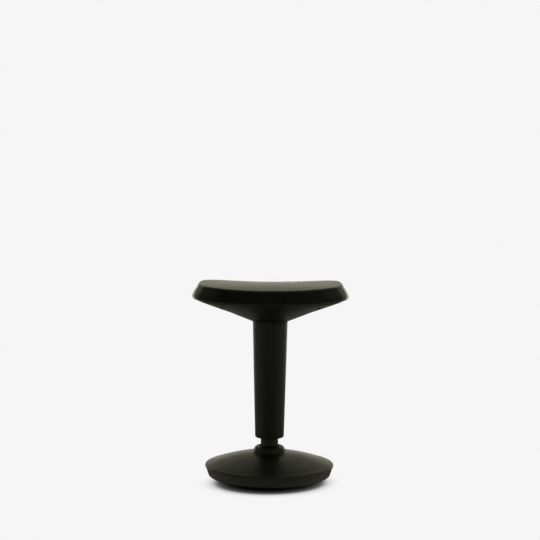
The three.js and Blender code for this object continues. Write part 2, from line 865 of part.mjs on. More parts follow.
function makeSeatPad() {
  const recessInset = boardInset - runningGap;
  const lowerFace = (x) => lipHeightAt(x) - lipUnderside;
  const recessTop = boardTop + seatGap;
  const shortHalf = seatDepth / 2;
  const topRings = padTopShares.map((share) => {
    const crown = seatCrown * share * (2 - share);
    return padRing(topInset + (shortHalf - topInset) * share, (x) => edgeHeight(x) + crown);
  });
  const rings = [
    padRing(recessInset, () => recessTop),
    padRing(recessInset, lowerFace),
    ...padLipShares.map(([inward, down]) =>
      padRing(lipReturn * inward, (x) => lipHeightAt(x) - lipUnderside * down),
    ),
    ...padSideShares.map(([inward, up]) =>
      padRing(topInset * inward, (x) => lipHeightAt(x) + (edgeHeight(x) - lipHeightAt(x)) * up),
    ),
    ...topRings,
  ];
  return piece("seat_pad", skinned(rings), "pad");
}

// Places of the shell screws, one in each quarter of the seat.
function shellScrewPlaces() {
  return [0, 1, 2, 3].map((quarter) => {
    const turn = Math.PI / 4 + (quarter * Math.PI) / 2;
    const [x, y] = planPoint(turn, shellEdgeInset);
    const inX = funnelRadius * Math.cos(turn);
    const inY = funnelRadius * Math.sin(turn);
    return [inX + (x - inX) * shellScrewShare, inY + (y - inY) * shellScrewShare];
  });
}

function plateBoltPlaces() {
  const half = plateHolePitch / 2;
  return [[half, half], [-half, half], [-half, -half], [half, -half]];
}

function makeSeatBoard() {
  const outline = padRing(boardInset, () => 0).map(([x, y]) => new THREE.Vector2(x, y));
  const board = new THREE.ExtrudeGeometry(new THREE.Shape(outline), {
    depth: boardThickness,
    bevelEnabled: false,
  });
  board.translate(0, 0, boardBottom);
  const nutHole = rodAlongZ(
    teeNutBarrelRadius + seatGap,
    boardBottom - cutOverrun,
    boardTop + cutOverrun,
    smallFacets,
  );
  const flangeRecess = rodAlongZ(
    teeNutFlangeRadius + seatGap,
    boardTop - teeNutFlangeThickness - 2 * seatGap,
    boardTop + cutOverrun,
    smallFacets,
  );
  const screwHole = rodAlongZ(
    shellScrewRadius + seatGap,
    boardBottom - cutOverrun,
    boardBottom + shellScrewGrip + seatGap,
    screwFacets,
  );
  const tools = [
    ...holesAt(nutHole, plateBoltPlaces()),
    ...holesAt(flangeRecess, plateBoltPlaces()),
    ...holesAt(screwHole, shellScrewPlaces()),
  ];
  return piece("seat_board", cut(board, tools), "plywood");
}

// Pressed plate with two channel walls, a round web and the taper socket, welded into one.
function makeSeatPlate() {
  const half = plateWidth / 2;
  const flat = block(-half, half, -half, half, plateBottom, plateTop);
  const wallAt = (side) =>
    block(
      (side * channelWidth) / 2 - channelWall / 2,
      (side * channelWidth) / 2 + channelWall / 2,
      -channelDepth / 2,
      channelDepth / 2,
      webBottom,
      plateBottom + plateThickness / 2,
    );
  const web = rodAlongZ(webRadius, webBottom, webTop, mediumFacets);
  const socket = rodAlongZ(socketRadius, socketFoot, webBottom + webThickness / 2, mediumFacets);
  const whole = join(flat, [wallAt(-1), wallAt(1), web, socket]);
  const taperFoot = cylinderTop - cylinderTaperLength;
  const bore = turned(
    [
      [0, socketFoot - cutOverrun],
      [cylinderRadius + runningGap, socketFoot - cutOverrun],
      [cylinderRadius + runningGap, taperFoot],
      [cylinderTaperRadius + runningGap, webTop + cutOverrun],
      [0, webTop + cutOverrun],
    ],
    mediumFacets,
  );
  const boltHole = rodAlongZ(
    plateBoltRadius + runningGap,
    plateBottom - cutOverrun,
    plateTop + cutOverrun,
    screwFacets,
  );
  const coverHole = rodAlongZ(
    coverScrewRadius + seatGap,
    webBottom - cutOverrun,
    webTop + cutOverrun,
    screwFacets,
  );
  const pinHole = rodAlongX(leverPinRadius + seatGap, -channelWidth, channelWidth, screwFacets);
  pinHole.translate(0, leverPivotOffset, leverPivotHeight);
  const tools = [
    bore,
    pinHole,
    ...holesAt(boltHole, plateBoltPlaces()),
    ...holesOnCircle(coverHole, coverScrewCircle, coverScrewCount, Math.PI / 2),
  ];
  return piece("seat_plate", cut(whole, tools), "blackSteel");
}

function makePlateBolts() {
  const headTop = plateBottom - seatGap;
  const shankTop = boardTop - teeNutFlangeThickness;
  const shank = rodAlongZ(plateBoltRadius, headTop - seatGap, shankTop, screwFacets);
  const head = rodAlongZ(plateBoltHeadRadius, headTop - plateBoltHeadHeight, headTop, hexagonFacets);
  const bolt = join(shank, [head]);
  return plateBoltPlaces().map(([x, y], index) => {
    const mesh = piece("plate_bolt_" + (index + 1), bolt.clone(), "zincSteel");
    mesh.position.set(x, y, 0);
    return mesh;
  });
}

function makeTeeNuts() {
  const top = boardTop - seatGap;
  const bore = plateBoltRadius + seatGap;
  const nut = turned(
    [
      [bore, top - teeNutLength],
      [teeNutBarrelRadius, top - teeNutLength],
      [teeNutBarrelRadius, top - teeNutFlangeThickness],
      [teeNutFlangeRadius, top - teeNutFlangeThickness],
      [teeNutFlangeRadius, top],
      [bore, top],
    ],
    smallFacets,
  );
  return plateBoltPlaces().map(([x, y], index) => {
    const mesh = piece("tee_nut_" + (index + 1), nut.clone(), "zincSteel");
    mesh.position.set(x, y, 0);
    return mesh;
  });
}

// One ring of the sloping underside: a share of the way from the funnel out to the shell's edge.
function slopeRing(share, lift) {
  return Array.from({ length: shellFacets }, (_, index) => {
    const turn = turnAt(index, shellFacets);
    const [edgeX, edgeY] = planPoint(turn, shellEdgeInset);
    const inX = funnelRadius * Math.cos(turn);
    const inY = funnelRadius * Math.sin(turn);
    const edgeZ = boardBottom - shellEdgeDrop + shellEdgeRise * (edgeX / (seatWidth / 2)) ** 2;
    const bulge = shellCrown * 4 * share * (1 - share);
    return [
      inX + (edgeX - inX) * share,
      inY + (edgeY - inY) * share,
      funnelTop + (edgeZ - funnelTop) * share - bulge + lift,
    ];
  });
}

const lapShare = (funnelRadius - funnelLapWidth) / funnelRadius;

// The rings of one face of the underside from the funnel outwards, at a lift above its outer face.
function slopeFace(lift) {
  return Array.from({ length: shellRings + 1 }, (_, index) => slopeRing(index / shellRings, lift));
}

// A band closed on itself: rings that go round the wall and meet their own start.
function loopSkinned(rings) {
  const count = rings[0].length;
  const positions = rings.flat(2);
  const faces = [];
  rings.forEach((_, row) => {
    const next = (row + 1) % rings.length;
    for (let i = 0; i < count; i += 1) {
      const j = (i + 1) % count;
      faces.push(row * count + i, row * count + j, next * count + i);
      faces.push(row * count + j, next * count + j, next * count + i);
    }
  });
  const geometry = new THREE.BufferGeometry();
  geometry.setAttribute("position", new THREE.Float32BufferAttribute(positions, 3));
  geometry.setIndex(faces);
  geometry.computeVertexNormals();
  return geometry;
}

const rimInnerShare = 0.985;

function shellBody() {
  const outside = slopeFace(0);
  const inside = slopeFace(shellWall).reverse();
  const drawnIn = (ring, share) => ring.map(([x, y, z]) => [x * share, y * share, z]);
  const rim = padRing(shellEdgeInset, (x) => lipHeightAt(x) - lipUnderside - seatGap);
  const rimInside = drawnIn(rim, rimInnerShare);
  const rimFoot = drawnIn(inside[0], rimInnerShare);
  const lapTop = drawnIn(slopeRing(0, funnelLapLift + funnelLapThickness), lapShare);
  const lapFoot = drawnIn(slopeRing(0, funnelLapLift), lapShare);
  const wallFoot = slopeRing(0, funnelLapLift);
  const insideTop = slopeRing(0, funnelLapLift + funnelLapThickness);
  return loopSkinned([
    ...outside,
    rim,
    rimInside,
    rimFoot,
    ...inside.slice(1, -1),
    insideTop,
    lapTop,
    lapFoot,
    wallFoot,
  ]);
}

// Everything below the middle of the shell's wall, which trims what stands on the shell.
function slopeFill() {
  const face = slopeFace(shellWall / 2);
  const sink = (ring) => ring.map(([x, y]) => [x, y, funnelTop - funnelRadius]);
  return loopSkinned([sink(face[0]), sink(face[shellRings]), ...face.reverse()]);
}

// The opening for the release paddle, and the smaller block that the paddle fills.
function paddleBlock(gap, drop) {
  const half = paddleWidth / 2 + gap;
  return block(-half, half, paddleNear - gap, paddleFar + gap, funnelTop - drop, boardBottom - seatGap);
}

function makeUndersideShell() {
  const bossTop = boardBottom - seatGap;
  const boss = rodAlongZ(shellBossRadius, funnelTop, bossTop, smallFacets);
  const bosses = shellScrewPlaces().map(([x, y]) => cut(boss.clone().translate(x, y, 0), [slopeFill()]));
  const hole = rodAlongZ(
    shellScrewRadius + runningGap,
    funnelTop - cutOverrun,
    bossTop + cutOverrun,
    screwFacets,
  );
  const recess = rodAlongZ(
    shellScrewHeadRadius + runningGap,
    funnelTop - cutOverrun,
    screwSeatHeight,
    screwFacets,
  );
  const tools = [
    paddleBlock(paddleGap, shellWall),
    ...holesAt(hole, shellScrewPlaces()),
    ...holesAt(recess, shellScrewPlaces()),
  ];
  return piece("underside_shell", cut(join(shellBody(), bosses), tools), "shell");
}

function makeShellScrews() {
  const headTop = screwSeatHeight - seatGap;
  const shank = rodAlongZ(shellScrewRadius, headTop - seatGap, boardBottom + shellScrewGrip, screwFacets);
  const head = rodAlongZ(shellScrewHeadRadius, headTop - shellScrewHeadHeight, headTop, screwFacets);
  const screw = join(shank, [head]);
  return shellScrewPlaces().map(([x, y], index) => {
    const mesh = piece("shell_screw_" + (index + 1), screw.clone(), "zincSteel");
    mesh.position.set(x, y, 0);
    return mesh;
  });
}

// Inner cone, from a short neck that stands on the column cover's shoulder up to the shell.
function makeFunnelCover() {
  const foot = seamHeight + seatGap;
  const edge = funnelRadius - seatGap;
  const coneFoot = seamHeight + funnelFootRise;
  const neckInner = coverTopRadius - coverSpigotInset + seatGap;
  const outline = [
    [neckInner, foot],
    [coverTopRadius, foot],
    ...bend(
      [coverTopRadius, foot + funnelWall / 2],
      [coverTopRadius, coneFoot - funnelWall / 2],
      [funnelFootRadius, coneFoot],
      bendSteps,
    ),
    [edge, funnelTop - seatGap],
    [edge, funnelTop - seatGap + funnelWall],
    [neckInner + funnelWall, coneFoot + funnelWall],
    [neckInner, coneFoot + funnelWall],
  ];
  return piece("funnel_cover", turned(outline, largeFacets), "shell");
}

// Tapered tube with a stepped neck and a roof that is screwed to the seat plate's web.
function makeColumnCover() {
  const roofTop = webBottom - coverRoofGap;
  const roofFoot = roofTop - coverRoofThickness;
  const spigot = coverTopRadius - coverSpigotInset;
  const neckFoot = seamHeight + coverNeckStep;
  const roundingTop = coverFoot + coverFootRounding;
  const footInner = coverFootRadius - coverWall;
  const outline = [
    ...bend(
      [coverFootRadius - coverFootRounding, coverFoot],
      [coverFootRadius, coverFoot],
      [coverFootRadius, roundingTop],
      bendSteps,
    ),
    [coverTopRadius, seamHeight],
    [spigot, seamHeight],
    [spigot, neckFoot],
    [coverNeckRadius, neckFoot + coverWall],
    [coverNeckRadius, roofTop],
    [coverRoofHole, roofTop],
    [coverRoofHole, roofFoot],
    [coverNeckRadius - coverWall, roofFoot],
    [coverNeckRadius - coverWall, neckFoot],
    [spigot - coverWall, seamHeight],
    [footInner, roundingTop],
    [footInner, coverFoot + endRingLift / 2],
    [coverFootRadius - coverFootRounding, coverFoot + endRingLift / 2],
  ];
  const hole = rodAlongZ(
    coverScrewRadius + seatGap,
    roofFoot - cutOverrun,
    roofTop + cutOverrun,
    screwFacets,
  );
  const tools = holesOnCircle(hole, coverScrewCircle, coverScrewCount, Math.PI / 2);
  return piece("column_cover", cut(turned(outline, largeFacets), tools), "shell");
}

function makeCoverScrews() {
  const headTop = webBottom - coverRoofGap - coverRoofThickness - seatGap;
  const shank = rodAlongZ(coverScrewRadius, headTop - seatGap, webTop + coverScrewPast, screwFacets);
  const head = rodAlongZ(coverScrewHeadRadius, headTop - coverScrewHeadHeight, headTop, screwFacets);
  const screw = join(shank, [head]);
  return onCircle("cover_screw", screw, "zincSteel", coverScrewCircle, coverScrewCount, Math.PI / 2);
}

// Ring pressed into the foot of the column cover, which hides the inside and runs along the tube.
function makeEndRing() {
  const outer = coverFootRadius - coverWall - seatGap;
  const inner = outerTubeRadius + endRingGap;
  const foot = coverFoot + endRingLift;
  const ring = ringAlongZ(inner, outer, foot, foot + endRingHeight, mediumFacets);
  const hollow = ringAlongZ(
    inner + coverWall,
    outer - coverWall,
    foot + coverWall,
    foot + endRingHeight + cutOverrun,
    mediumFacets,
  );
  return piece("cover_end_ring", cut(ring, [hollow]), "shell");
}

// Height release

function makeLever() {
  const half = leverWidth / 2;
  const top = leverBottom + leverThickness;
  const arm = block(-half, half, -leverNose, leverReach, leverBottom, top);
  const boss = rodAlongX(leverBossRadius, -half, half, smallFacets);
  boss.translate(0, leverPivotOffset, leverPivotHeight);
  const hole = rodAlongX(leverPinRadius + seatGap, -leverWidth, leverWidth, screwFacets);
  hole.translate(0, leverPivotOffset, leverPivotHeight);
  return piece("release_lever", cut(join(arm, [boss]), [hole]), "zincSteel");
}

function makeLeverPin() {
  const end = channelWidth / 2 + channelWall;
  const pin = rodAlongX(leverPinRadius, -end, end, screwFacets);
  const head = rodAlongX(leverPinHeadRadius, end - seatGap, end + leverPinHead, screwFacets);
  const whole = join(pin, [head]);
  whole.translate(0, leverPivotOffset, leverPivotHeight);
  return piece("lever_pivot_pin", whole, "zincSteel");
}

// Finger paddle cut from the same slope as the shell, with a sleeve that grips the lever's arm.
function makePaddle() {
  const slope = loopSkinned([...slopeFace(0), ...slopeFace(shellWall).reverse()]);
  const plate = overlapOf(slope, paddleBlock(0, shellWall));
  const half = leverWidth / 2 + paddleStemWall;
  const stemNear = leverReach - paddleStemLength;
  const stemFar = leverReach + paddleStemWall;
  const stemTop = leverBottom + leverThickness + paddleStemWall;
  const stemFoot = funnelTop + shellWall;
  const stem = block(-half, half, stemNear, stemFar, stemFoot, stemTop);
  const below = slopeFill();
  const slot = block(
    -leverWidth / 2 - seatGap,
    leverWidth / 2 + seatGap,
    stemNear - cutOverrun,
    leverReach + seatGap,
    leverBottom - seatGap,
    leverBottom + leverThickness + seatGap,
  );
  return piece("lever_paddle", cut(join(plate, [cut(stem, [below])]), [slot]), "shell");
}

// Assembly
const base = new THREE.Group();
base.add(
  makeRockerSole(),
  makeLowerShell(),
  makeBallast(),
  makeHubSocket(),
  ...makeHubBolts(),
  ...makeBaseScrews(),
  makeDomeCover(),
  makeCollarRing(),
);

const lift = new THREE.Group();
lift.add(
  makeOuterTube(),
  makeGuideBush(),
  makeRace("bearing_lower_race", bearingFoot, bearingBore),
  makeBallCage(),
  makeRace("bearing_upper_race", upperRaceFoot, rodFootRadius + seatGap),
  makeBumper(),
  makePistonRod(),
  ...makeRodEnd(),
  makePiston(),
  makeGland(),
  makeCylinder(),
  makeValveBody(),
  makeValvePin(),
);

const seat = new THREE.Group();
seat.add(
  makeSeatPad(),
  makeSeatBoard(),
  makeSeatPlate(),
  ...makePlateBolts(),
  ...makeTeeNuts(),
  makeUndersideShell(),
  ...makeShellScrews(),
  makeFunnelCover(),
  makeColumnCover(),
  ...makeCoverScrews(),
  makeEndRing(),
  makeLever(),
  makeLeverPin(),
  makePaddle(),
);

const stool = new THREE.Group();
stool.add(base, lift, seat);

export default stool;
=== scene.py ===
# A wobble stool in satin black: a saddle-shaped moulded seat on a gas-lift column, standing on a
# weighted round base whose convex sole lets it rock. Sizes named in this file are in millimetres,
# apart from the camera's and the studio's, and new_piece turns them into metres.

import math

import bmesh
import bpy
import numpy as np
from mathutils import Matrix


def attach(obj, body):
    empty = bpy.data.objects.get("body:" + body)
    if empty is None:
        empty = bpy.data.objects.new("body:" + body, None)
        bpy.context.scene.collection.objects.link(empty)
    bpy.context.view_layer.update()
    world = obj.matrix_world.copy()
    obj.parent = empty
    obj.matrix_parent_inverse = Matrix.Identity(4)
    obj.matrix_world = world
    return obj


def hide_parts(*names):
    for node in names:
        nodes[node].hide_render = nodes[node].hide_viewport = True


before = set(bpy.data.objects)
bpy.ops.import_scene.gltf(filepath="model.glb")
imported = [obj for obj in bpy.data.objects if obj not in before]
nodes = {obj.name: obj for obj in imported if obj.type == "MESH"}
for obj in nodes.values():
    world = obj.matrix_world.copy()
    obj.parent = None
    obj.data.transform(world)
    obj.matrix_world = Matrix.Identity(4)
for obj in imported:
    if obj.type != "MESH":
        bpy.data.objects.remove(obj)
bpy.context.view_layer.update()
scene = bpy.context.scene


# Camera
# The photograph's viewpoint: 3.8 m in front of the column and 0.87 m up, looking slightly down
# through a long lens, with the stool leaning a third of a degree clockwise in the picture.
camera_distance = 3.8
camera_height = 0.866
camera_aside = -0.0016
pitch_down = math.radians(3.83)
picture_roll = math.radians(0.38)
focal_length_pixels = 1334
picture_pixels = 540

camera_data = bpy.data.cameras.new("camera")
camera_data.sensor_width = 36
camera_data.lens = camera_data.sensor_width * focal_length_pixels / picture_pixels
camera = bpy.data.objects.new("camera", camera_data)
scene.collection.objects.link(camera)
camera.matrix_world = (
    Matrix.Translation((camera_aside, -camera_distance, camera_height))
    @ Matrix.Rotation(math.pi / 2 - pitch_down, 4, "X")
    @ Matrix.Rotation(picture_roll, 4, "Z")
)
scene.camera = camera
scene.view_settings.view_transform = "Standard"


# Studio
# A seamless pale ground. The camera sees the floor and the surroundings in one tone, and the floor
# darkens only under the base. The stool is lit by soft, slightly warm bands of light low behind it,
# overhead and from the floor, with a dim room in front of it.
ground_tone = (0.921, 0.921, 0.921, 1)
light_tint = (1.0, 1.0, 0.78)
brightest = 2.0
brightest_gain = 2.0

# The surroundings: tones by degrees above the horizon for the room's back, sides and front, each
# times a gain by bearing, from -1 at the left to 1 at the right. They blend where the bearing's
# share along the view is between the two numbers.
back_light = [(0, 1.88), (3, 1.62), (6, 0.6), (9, 0.18), (16, 0.36), (22, 0.62), (29, 0.52),
              (36, 0.29), (42, 0.25), (50, 0.15), (69, 0.13), (81, 0.25), (90, 0.5)]
back_gain = [(-1, 0.7), (-0.25, 0.95), (0, 0.85), (0.25, 1.0), (1, 1.0)]
side_light = [(0, 0.25), (8, 0.25), (20, 0.1), (48, 0.16), (69, 0.3), (81, 0.45), (90, 0.5)]
side_gain = [(-1, 0.85), (1, 1.15)]
front_light = [(0, 0.0), (16, 0.02), (26, 0.13), (40, 0.05), (53, 0.045), (66, 0.05), (74, 0.25),
               (82, 0.5), (90, 0.5)]
front_gain = [(-1, 0.85), (0, 1.0), (0.12, 1.1), (0.4, 2.0), (1, 1.5)]
front_to_side = (-0.55, -0.3)
side_to_back = (0.55, 0.75)

# The floor: tones by metres behind the column, one even tone beside the stool, and how open the
# floor under the base is to light, by metres from the middle of its soft oval shadow.
floor_radius = 60
floor_corners = 96
floor_glow = [
    (-6, 0.3), (-3, 0.3), (-2, 0.28), (-1.5, 0.2), (-1.17, 0.1), (-0.95, 0.01), (-0.68, 0.0),
    (-0.63, 0.17), (-0.42, 0.2), (-0.36, 0.08), (-0.27, 0.08), (-0.24, 0.27), (-0.22, 0.26),
    (-0.205, 0.21), (-0.19, 0.26), (-0.15, 0.34), (-0.05, 0.27), (0.1, 0.07), (0.3, 0.1),
    (0.45, 0.19), (0.9, 0.2), (1.3, 0.28),
]
glow_beside = (0.28, 0.28, 0.28, 1)
beside_from = (0.5, 0.8)
beside_until = (1.2, 0.9)
shadow_middle = (0.002, -0.01)
shadow_skew = 0.06
shadow_depth_share = 0.95
shadow_tones = [
    (0, 0.0005), (0.091, 0.0005), (0.101, 0.0015), (0.11, 0.0042), (0.122, 0.0128), (0.129, 0.023),
    (0.141, 0.062), (0.147, 0.106), (0.153, 0.2), (0.159, 0.38), (0.165, 0.59), (0.171, 0.73),
    (0.177, 0.82), (0.189, 0.935), (0.201, 0.981), (0.217, 1.0), (0.22, 1.0),
]

# A low panel behind the stool, which the camera doesn't see.
panel_middle = (0, 2.2, 0.21)
panel_width = 4.6
panel_height = 0.4
panel_radiance = 1.1


class Wiring:
    """Adds nodes to the tree of a material, of the world or of a group."""

    def __init__(self, tree):
        self.tree = tree

    def feed(self, socket, value):
        """Joins another socket to this one, or sets a plain value on it."""
        if isinstance(value, bpy.types.NodeSocket):
            self.tree.links.new(value, socket)
        else:
            socket.default_value = value

    def add(self, kind, inputs=(), **settings):
        """One node, with its settings and with what its inputs are fed."""
        node = self.tree.nodes.new("ShaderNode" + kind)
        for name, value in settings.items():
            setattr(node, name, value)
        for name, value in dict(inputs).items():
            self.feed(node.inputs[name], value)
        return node

    def sum_of(self, operation, *values, clamp=False):
        """The result of one sum with one or two values."""
        return self.add("Math", enumerate(values), operation=operation, use_clamp=clamp).outputs[0]

    def product(self, first, second):
        """Two colours or directions, multiplied channel by channel."""
        return self.add("VectorMath", {0: first, 1: second}, operation="MULTIPLY").outputs[0]

    def mixed(self, share, first, second, **settings):
        """The first colour turning into the second as the share goes from 0 to 1."""
        inputs = {0: share, 6: first, 7: second}
        return self.add("Mix", inputs, data_type="RGBA", **settings).outputs[2]

    def smooth_step(self, value, start, end):
        """The smooth rise 3t^2 - 2t^3 from 0 at start to 1 at end."""
        inputs = {"Value": value, "From Min": start, "From Max": end}
        return self.add("MapRange", inputs, interpolation_type="SMOOTHSTEP").outputs[0]

    def toned(self, value, stops, full=1):
        """Tones at the stops' places, with straight lines between them, as shares of full."""
        start, end = stops[0][0], stops[-1][0]
        share = self.sum_of("DIVIDE", self.sum_of("SUBTRACT", value, start), end - start, clamp=True)
        ramp = self.add("ValToRGB", {"Fac": share})
        marks = ramp.color_ramp.elements
        while len(marks) < len(stops):
            marks.new(1)
        for mark, (place, tone) in zip(marks, stops):
            mark.position = (place - start) / (end - start)
            mark.color = (tone / full, tone / full, tone / full, 1)
        return ramp.outputs["Color"]


def bare_material(name):
    """A new material and the wiring of its empty tree."""
    material = bpy.data.materials.new(name)
    material.use_nodes = True
    material.node_tree.nodes.clear()
    return material, Wiring(material.node_tree)


floor_material, ground = bare_material("pale_ground")
floor_x, floor_y, _ = ground.add("SeparateXYZ", {0: ground.add("TexCoord").outputs["Object"]}).outputs
aside = ground.sum_of("SUBTRACT", floor_x, shadow_middle[0])
behind = ground.sum_of("SUBTRACT", floor_y, shadow_middle[1])
behind = ground.sum_of("SUBTRACT", behind, ground.sum_of("MULTIPLY", aside, shadow_skew))
behind = ground.sum_of("DIVIDE", behind, shadow_depth_share)
squares = [ground.sum_of("MULTIPLY", way, way) for way in (aside, behind)]
openness = ground.toned(ground.sum_of("SQRT", ground.sum_of("ADD", *squares)), shadow_tones)
is_beside = ground.smooth_step(ground.sum_of("ABSOLUTE", floor_x), *beside_from)
is_near = ground.smooth_step(ground.sum_of("ABSOLUTE", floor_y), *beside_until)
sideways = ground.sum_of("MULTIPLY", is_beside, is_near)
stool_light = ground.mixed(sideways, ground.toned(floor_y, floor_glow), glow_beside)
under_base = ground.product(ground.product(stool_light, light_tint), openness)
to_camera = ground.add("LightPath").outputs["Is Camera Ray"]
shaded = ground.product(ground.mixed(to_camera, under_base, ground_tone), openness)
glow = ground.add("Emission", {"Color": shaded})
ground.add("OutputMaterial", {"Surface": glow.outputs[0]})

floor_mesh = bpy.data.meshes.new("floor")
turns = np.linspace(0, 2 * np.pi, floor_corners, endpoint=False)
rim = np.stack([floor_radius * np.cos(turns), floor_radius * np.sin(turns), np.zeros(floor_corners)], 1)
floor_mesh.from_pydata(rim.tolist(), [], [list(range(floor_corners))])
floor_mesh.materials.append(floor_material)
floor = bpy.data.objects.new("floor", floor_mesh)
scene.collection.objects.link(floor)

world = bpy.data.worlds.new("surroundings")
world.use_nodes = True
world.node_tree.nodes.clear()
room = Wiring(world.node_tree)
direction = room.add("TexCoord").outputs["Generated"]
upward = room.add("SeparateXYZ", {0: direction}).outputs["Z"]
rise = room.sum_of("MULTIPLY", room.sum_of("ARCSINE", upward), 180 / math.pi)
compass = room.add("VectorMath", {0: room.product(direction, (1, 1, 0))}, operation="NORMALIZE")
bearing_x, bearing_y, _ = room.add("SeparateXYZ", {0: compass.outputs[0]}).outputs
front, side, back = [
    room.product(room.toned(rise, tones, brightest), room.toned(bearing_x, gains, brightest_gain))
    for tones, gains in ((front_light, front_gain), (side_light, side_gain), (back_light, back_gain))
]
around = room.mixed(room.smooth_step(bearing_y, *front_to_side), front, side)
around = room.mixed(room.smooth_step(bearing_y, *side_to_back), around, back)
lit = room.product(around, [tone * brightest * brightest_gain for tone in light_tint])
to_camera = room.add("LightPath").outputs["Is Camera Ray"]
glow = room.add("Background", {"Color": room.mixed(to_camera, lit, ground_tone)})
room.add("OutputWorld", {"Surface": glow.outputs[0]})
scene.world = world

panel_light = bpy.data.lights.new("low_panel_behind", "AREA")
panel_light.shape = "RECTANGLE"
panel_light.size = panel_width
panel_light.size_y = panel_height
panel_light.energy = panel_radiance * math.pi * panel_width * panel_height
panel_light.color = light_tint
panel = bpy.data.objects.new("low_panel_behind", panel_light)
scene.collection.objects.link(panel)
panel.matrix_world = Matrix.Translation(panel_middle) @ Matrix.Rotation(-math.pi / 2, 4, "X")
panel.visible_camera = False


# Rocker sole
# A moulded rubber dish glued under the base. It is flat in the middle and curves up to its edge,
# so the stool stands on the flat and rocks on the curve.
sole_flat_radius = 60
sole_curve_radius = 320
sole_radius = 158
sole_thickness = 4
sole_colour = (0.0065, 0.0065, 0.006, 1)
rubber_dust = (0.035, 0.034, 0.031, 1)
turn_steps = 192
crease_angle = math.radians(38)


def new_piece(name, points, faces, material):
    """A mesh object from points in millimetres: points that fall together are merged, the faces
    are turned outwards, and edges sharper than the crease angle stay sharp."""
    mesh = bpy.data.meshes.new(name)
    mesh.from_pydata((np.asarray(points).reshape(-1, 3) / 1000).tolist(), [], np.asarray(faces).tolist())
    shape = bmesh.new()
    shape.from_mesh(mesh)
    bmesh.ops.remove_doubles(shape, verts=shape.verts, dist=1e-6)
    bmesh.ops.recalc_face_normals(shape, faces=shape.faces)
    shape.to_mesh(mesh)
    shape.free()
    mesh.polygons.foreach_set("use_smooth", np.ones(len(mesh.polygons), bool))
    mesh.set_sharp_from_angle(angle=crease_angle)
    mesh.materials.append(material)
    piece = bpy.data.objects.new(name, mesh)
    scene.collection.objects.link(piece)
    return piece


def skin_faces(rows, columns, closed_rows=True):
    """Four-sided faces over a grid of points that is closed round its columns, and round its rows
    too where the skin ends on its own start."""
    row = np.arange(rows if closed_rows else rows - 1)[:, None]
    column = np.arange(columns)[None, :]
    below, above = row * columns, (row + 1) % rows * columns
    beside = (column + 1) % columns
    corners = [below + column, below + beside, above + beside, above + column]
    return np.stack(corners, -1).reshape(-1, 4)


def rounded_outline(corners, steps=7, guard=0.5):
    """Points round a closed chain of lines through corners (radius, height, rounding): each
    rounding is an arc that touches both lines, with a guard point just before and after it."""
    line = []
    for index, (radius, height, rounding) in enumerate(corners):
        corner = np.array([radius, height], float)
        back = np.array(corners[index - 1][:2], float) - corner
        ahead = np.array(corners[(index + 1) % len(corners)][:2], float) - corner
        back_length, ahead_length = np.hypot(*back), np.hypot(*ahead)
        back, ahead = back / back_length, ahead / ahead_length
        half_angle = math.acos(np.clip(back @ ahead, -1, 1)) / 2
        if rounding == 0 or half_angle > 1.5:
            line.append(corner[None])
            continue
        reach = min(rounding / math.tan(half_angle), 0.45 * back_length, 0.45 * ahead_length)
        arc_radius = reach * math.tan(half_angle)
        middle = corner + (back + ahead) / np.hypot(*(back + ahead)) * arc_radius / math.sin(half_angle)
        start, end = corner + back * reach - middle, corner + ahead * reach - middle
        first, last = math.atan2(start[1], start[0]), math.atan2(end[1], end[0])
        sweep = (last - first + math.pi) % (2 * math.pi) - math.pi
        angles = first + sweep * np.linspace(0, 1, steps)
        arc = middle + arc_radius * np.stack([np.cos(angles), np.sin(angles)], 1)
        before = corner + back * min(reach + guard, 0.49 * back_length)
        after = corner + ahead * min(reach + guard, 0.49 * ahead_length)
        line.append(np.vstack([before, arc, after]))
    return np.vstack(line)


def pulled_curve(start, pull, end, steps=10):
    """Points from start to end, bent towards the pull point: (1-t)^2, 2t(1-t) and t^2 of the three."""
    t = np.linspace(0, 1, steps)[:, None]
    points = (1 - t) ** 2 * np.array(start) + 2 * t * (1 - t) * np.array(pull) + t**2 * np.array(end)
    return [(radius, height, 0) for radius, height in points]


def turned_piece(name, outline, material, steps=turn_steps):
    """The outline carried once round the vertical axis: x = r cos(turn), y = r sin(turn), z = height."""
    radius, height = np.asarray(outline, float).T[:2]
    turn = 2 * np.pi * np.arange(steps) / steps
    ring = np.stack([np.cos(turn), np.sin(turn), np.zeros(steps)], 1)
    points = radius[:, None, None] * ring
    points[..., 2] = height[:, None]
    return new_piece(name, points, skin_faces(len(radius), steps), material)


def rocker_height(radius):
    """Height of the rocking surface: 0 inside the flat, then a circle of the curve's radius."""
    past = np.maximum(0, np.asarray(radius, float) - sole_flat_radius)
    return sole_curve_radius - np.sqrt(sole_curve_radius**2 - past**2)


def effect_group(name, inputs, outputs):
    """A shader node group with named inputs and outputs, given with their values, of which four
    numbers are a colour. Its wiring, its given sockets and those that it puts out come with it."""
    group = bpy.data.node_groups.new(name, "ShaderNodeTree")
    for way, sockets in (("INPUT", inputs), ("OUTPUT", outputs)):
        for label, value in sockets.items():
            kind = "NodeSocketColor" if isinstance(value, tuple) else "NodeSocketFloat"
            group.interface.new_socket(label, in_out=way, socket_type=kind).default_value = value
    given = group.nodes.new("NodeGroupInput").outputs
    put = group.nodes.new("NodeGroupOutput").inputs
    return group, Wiring(group), given, put


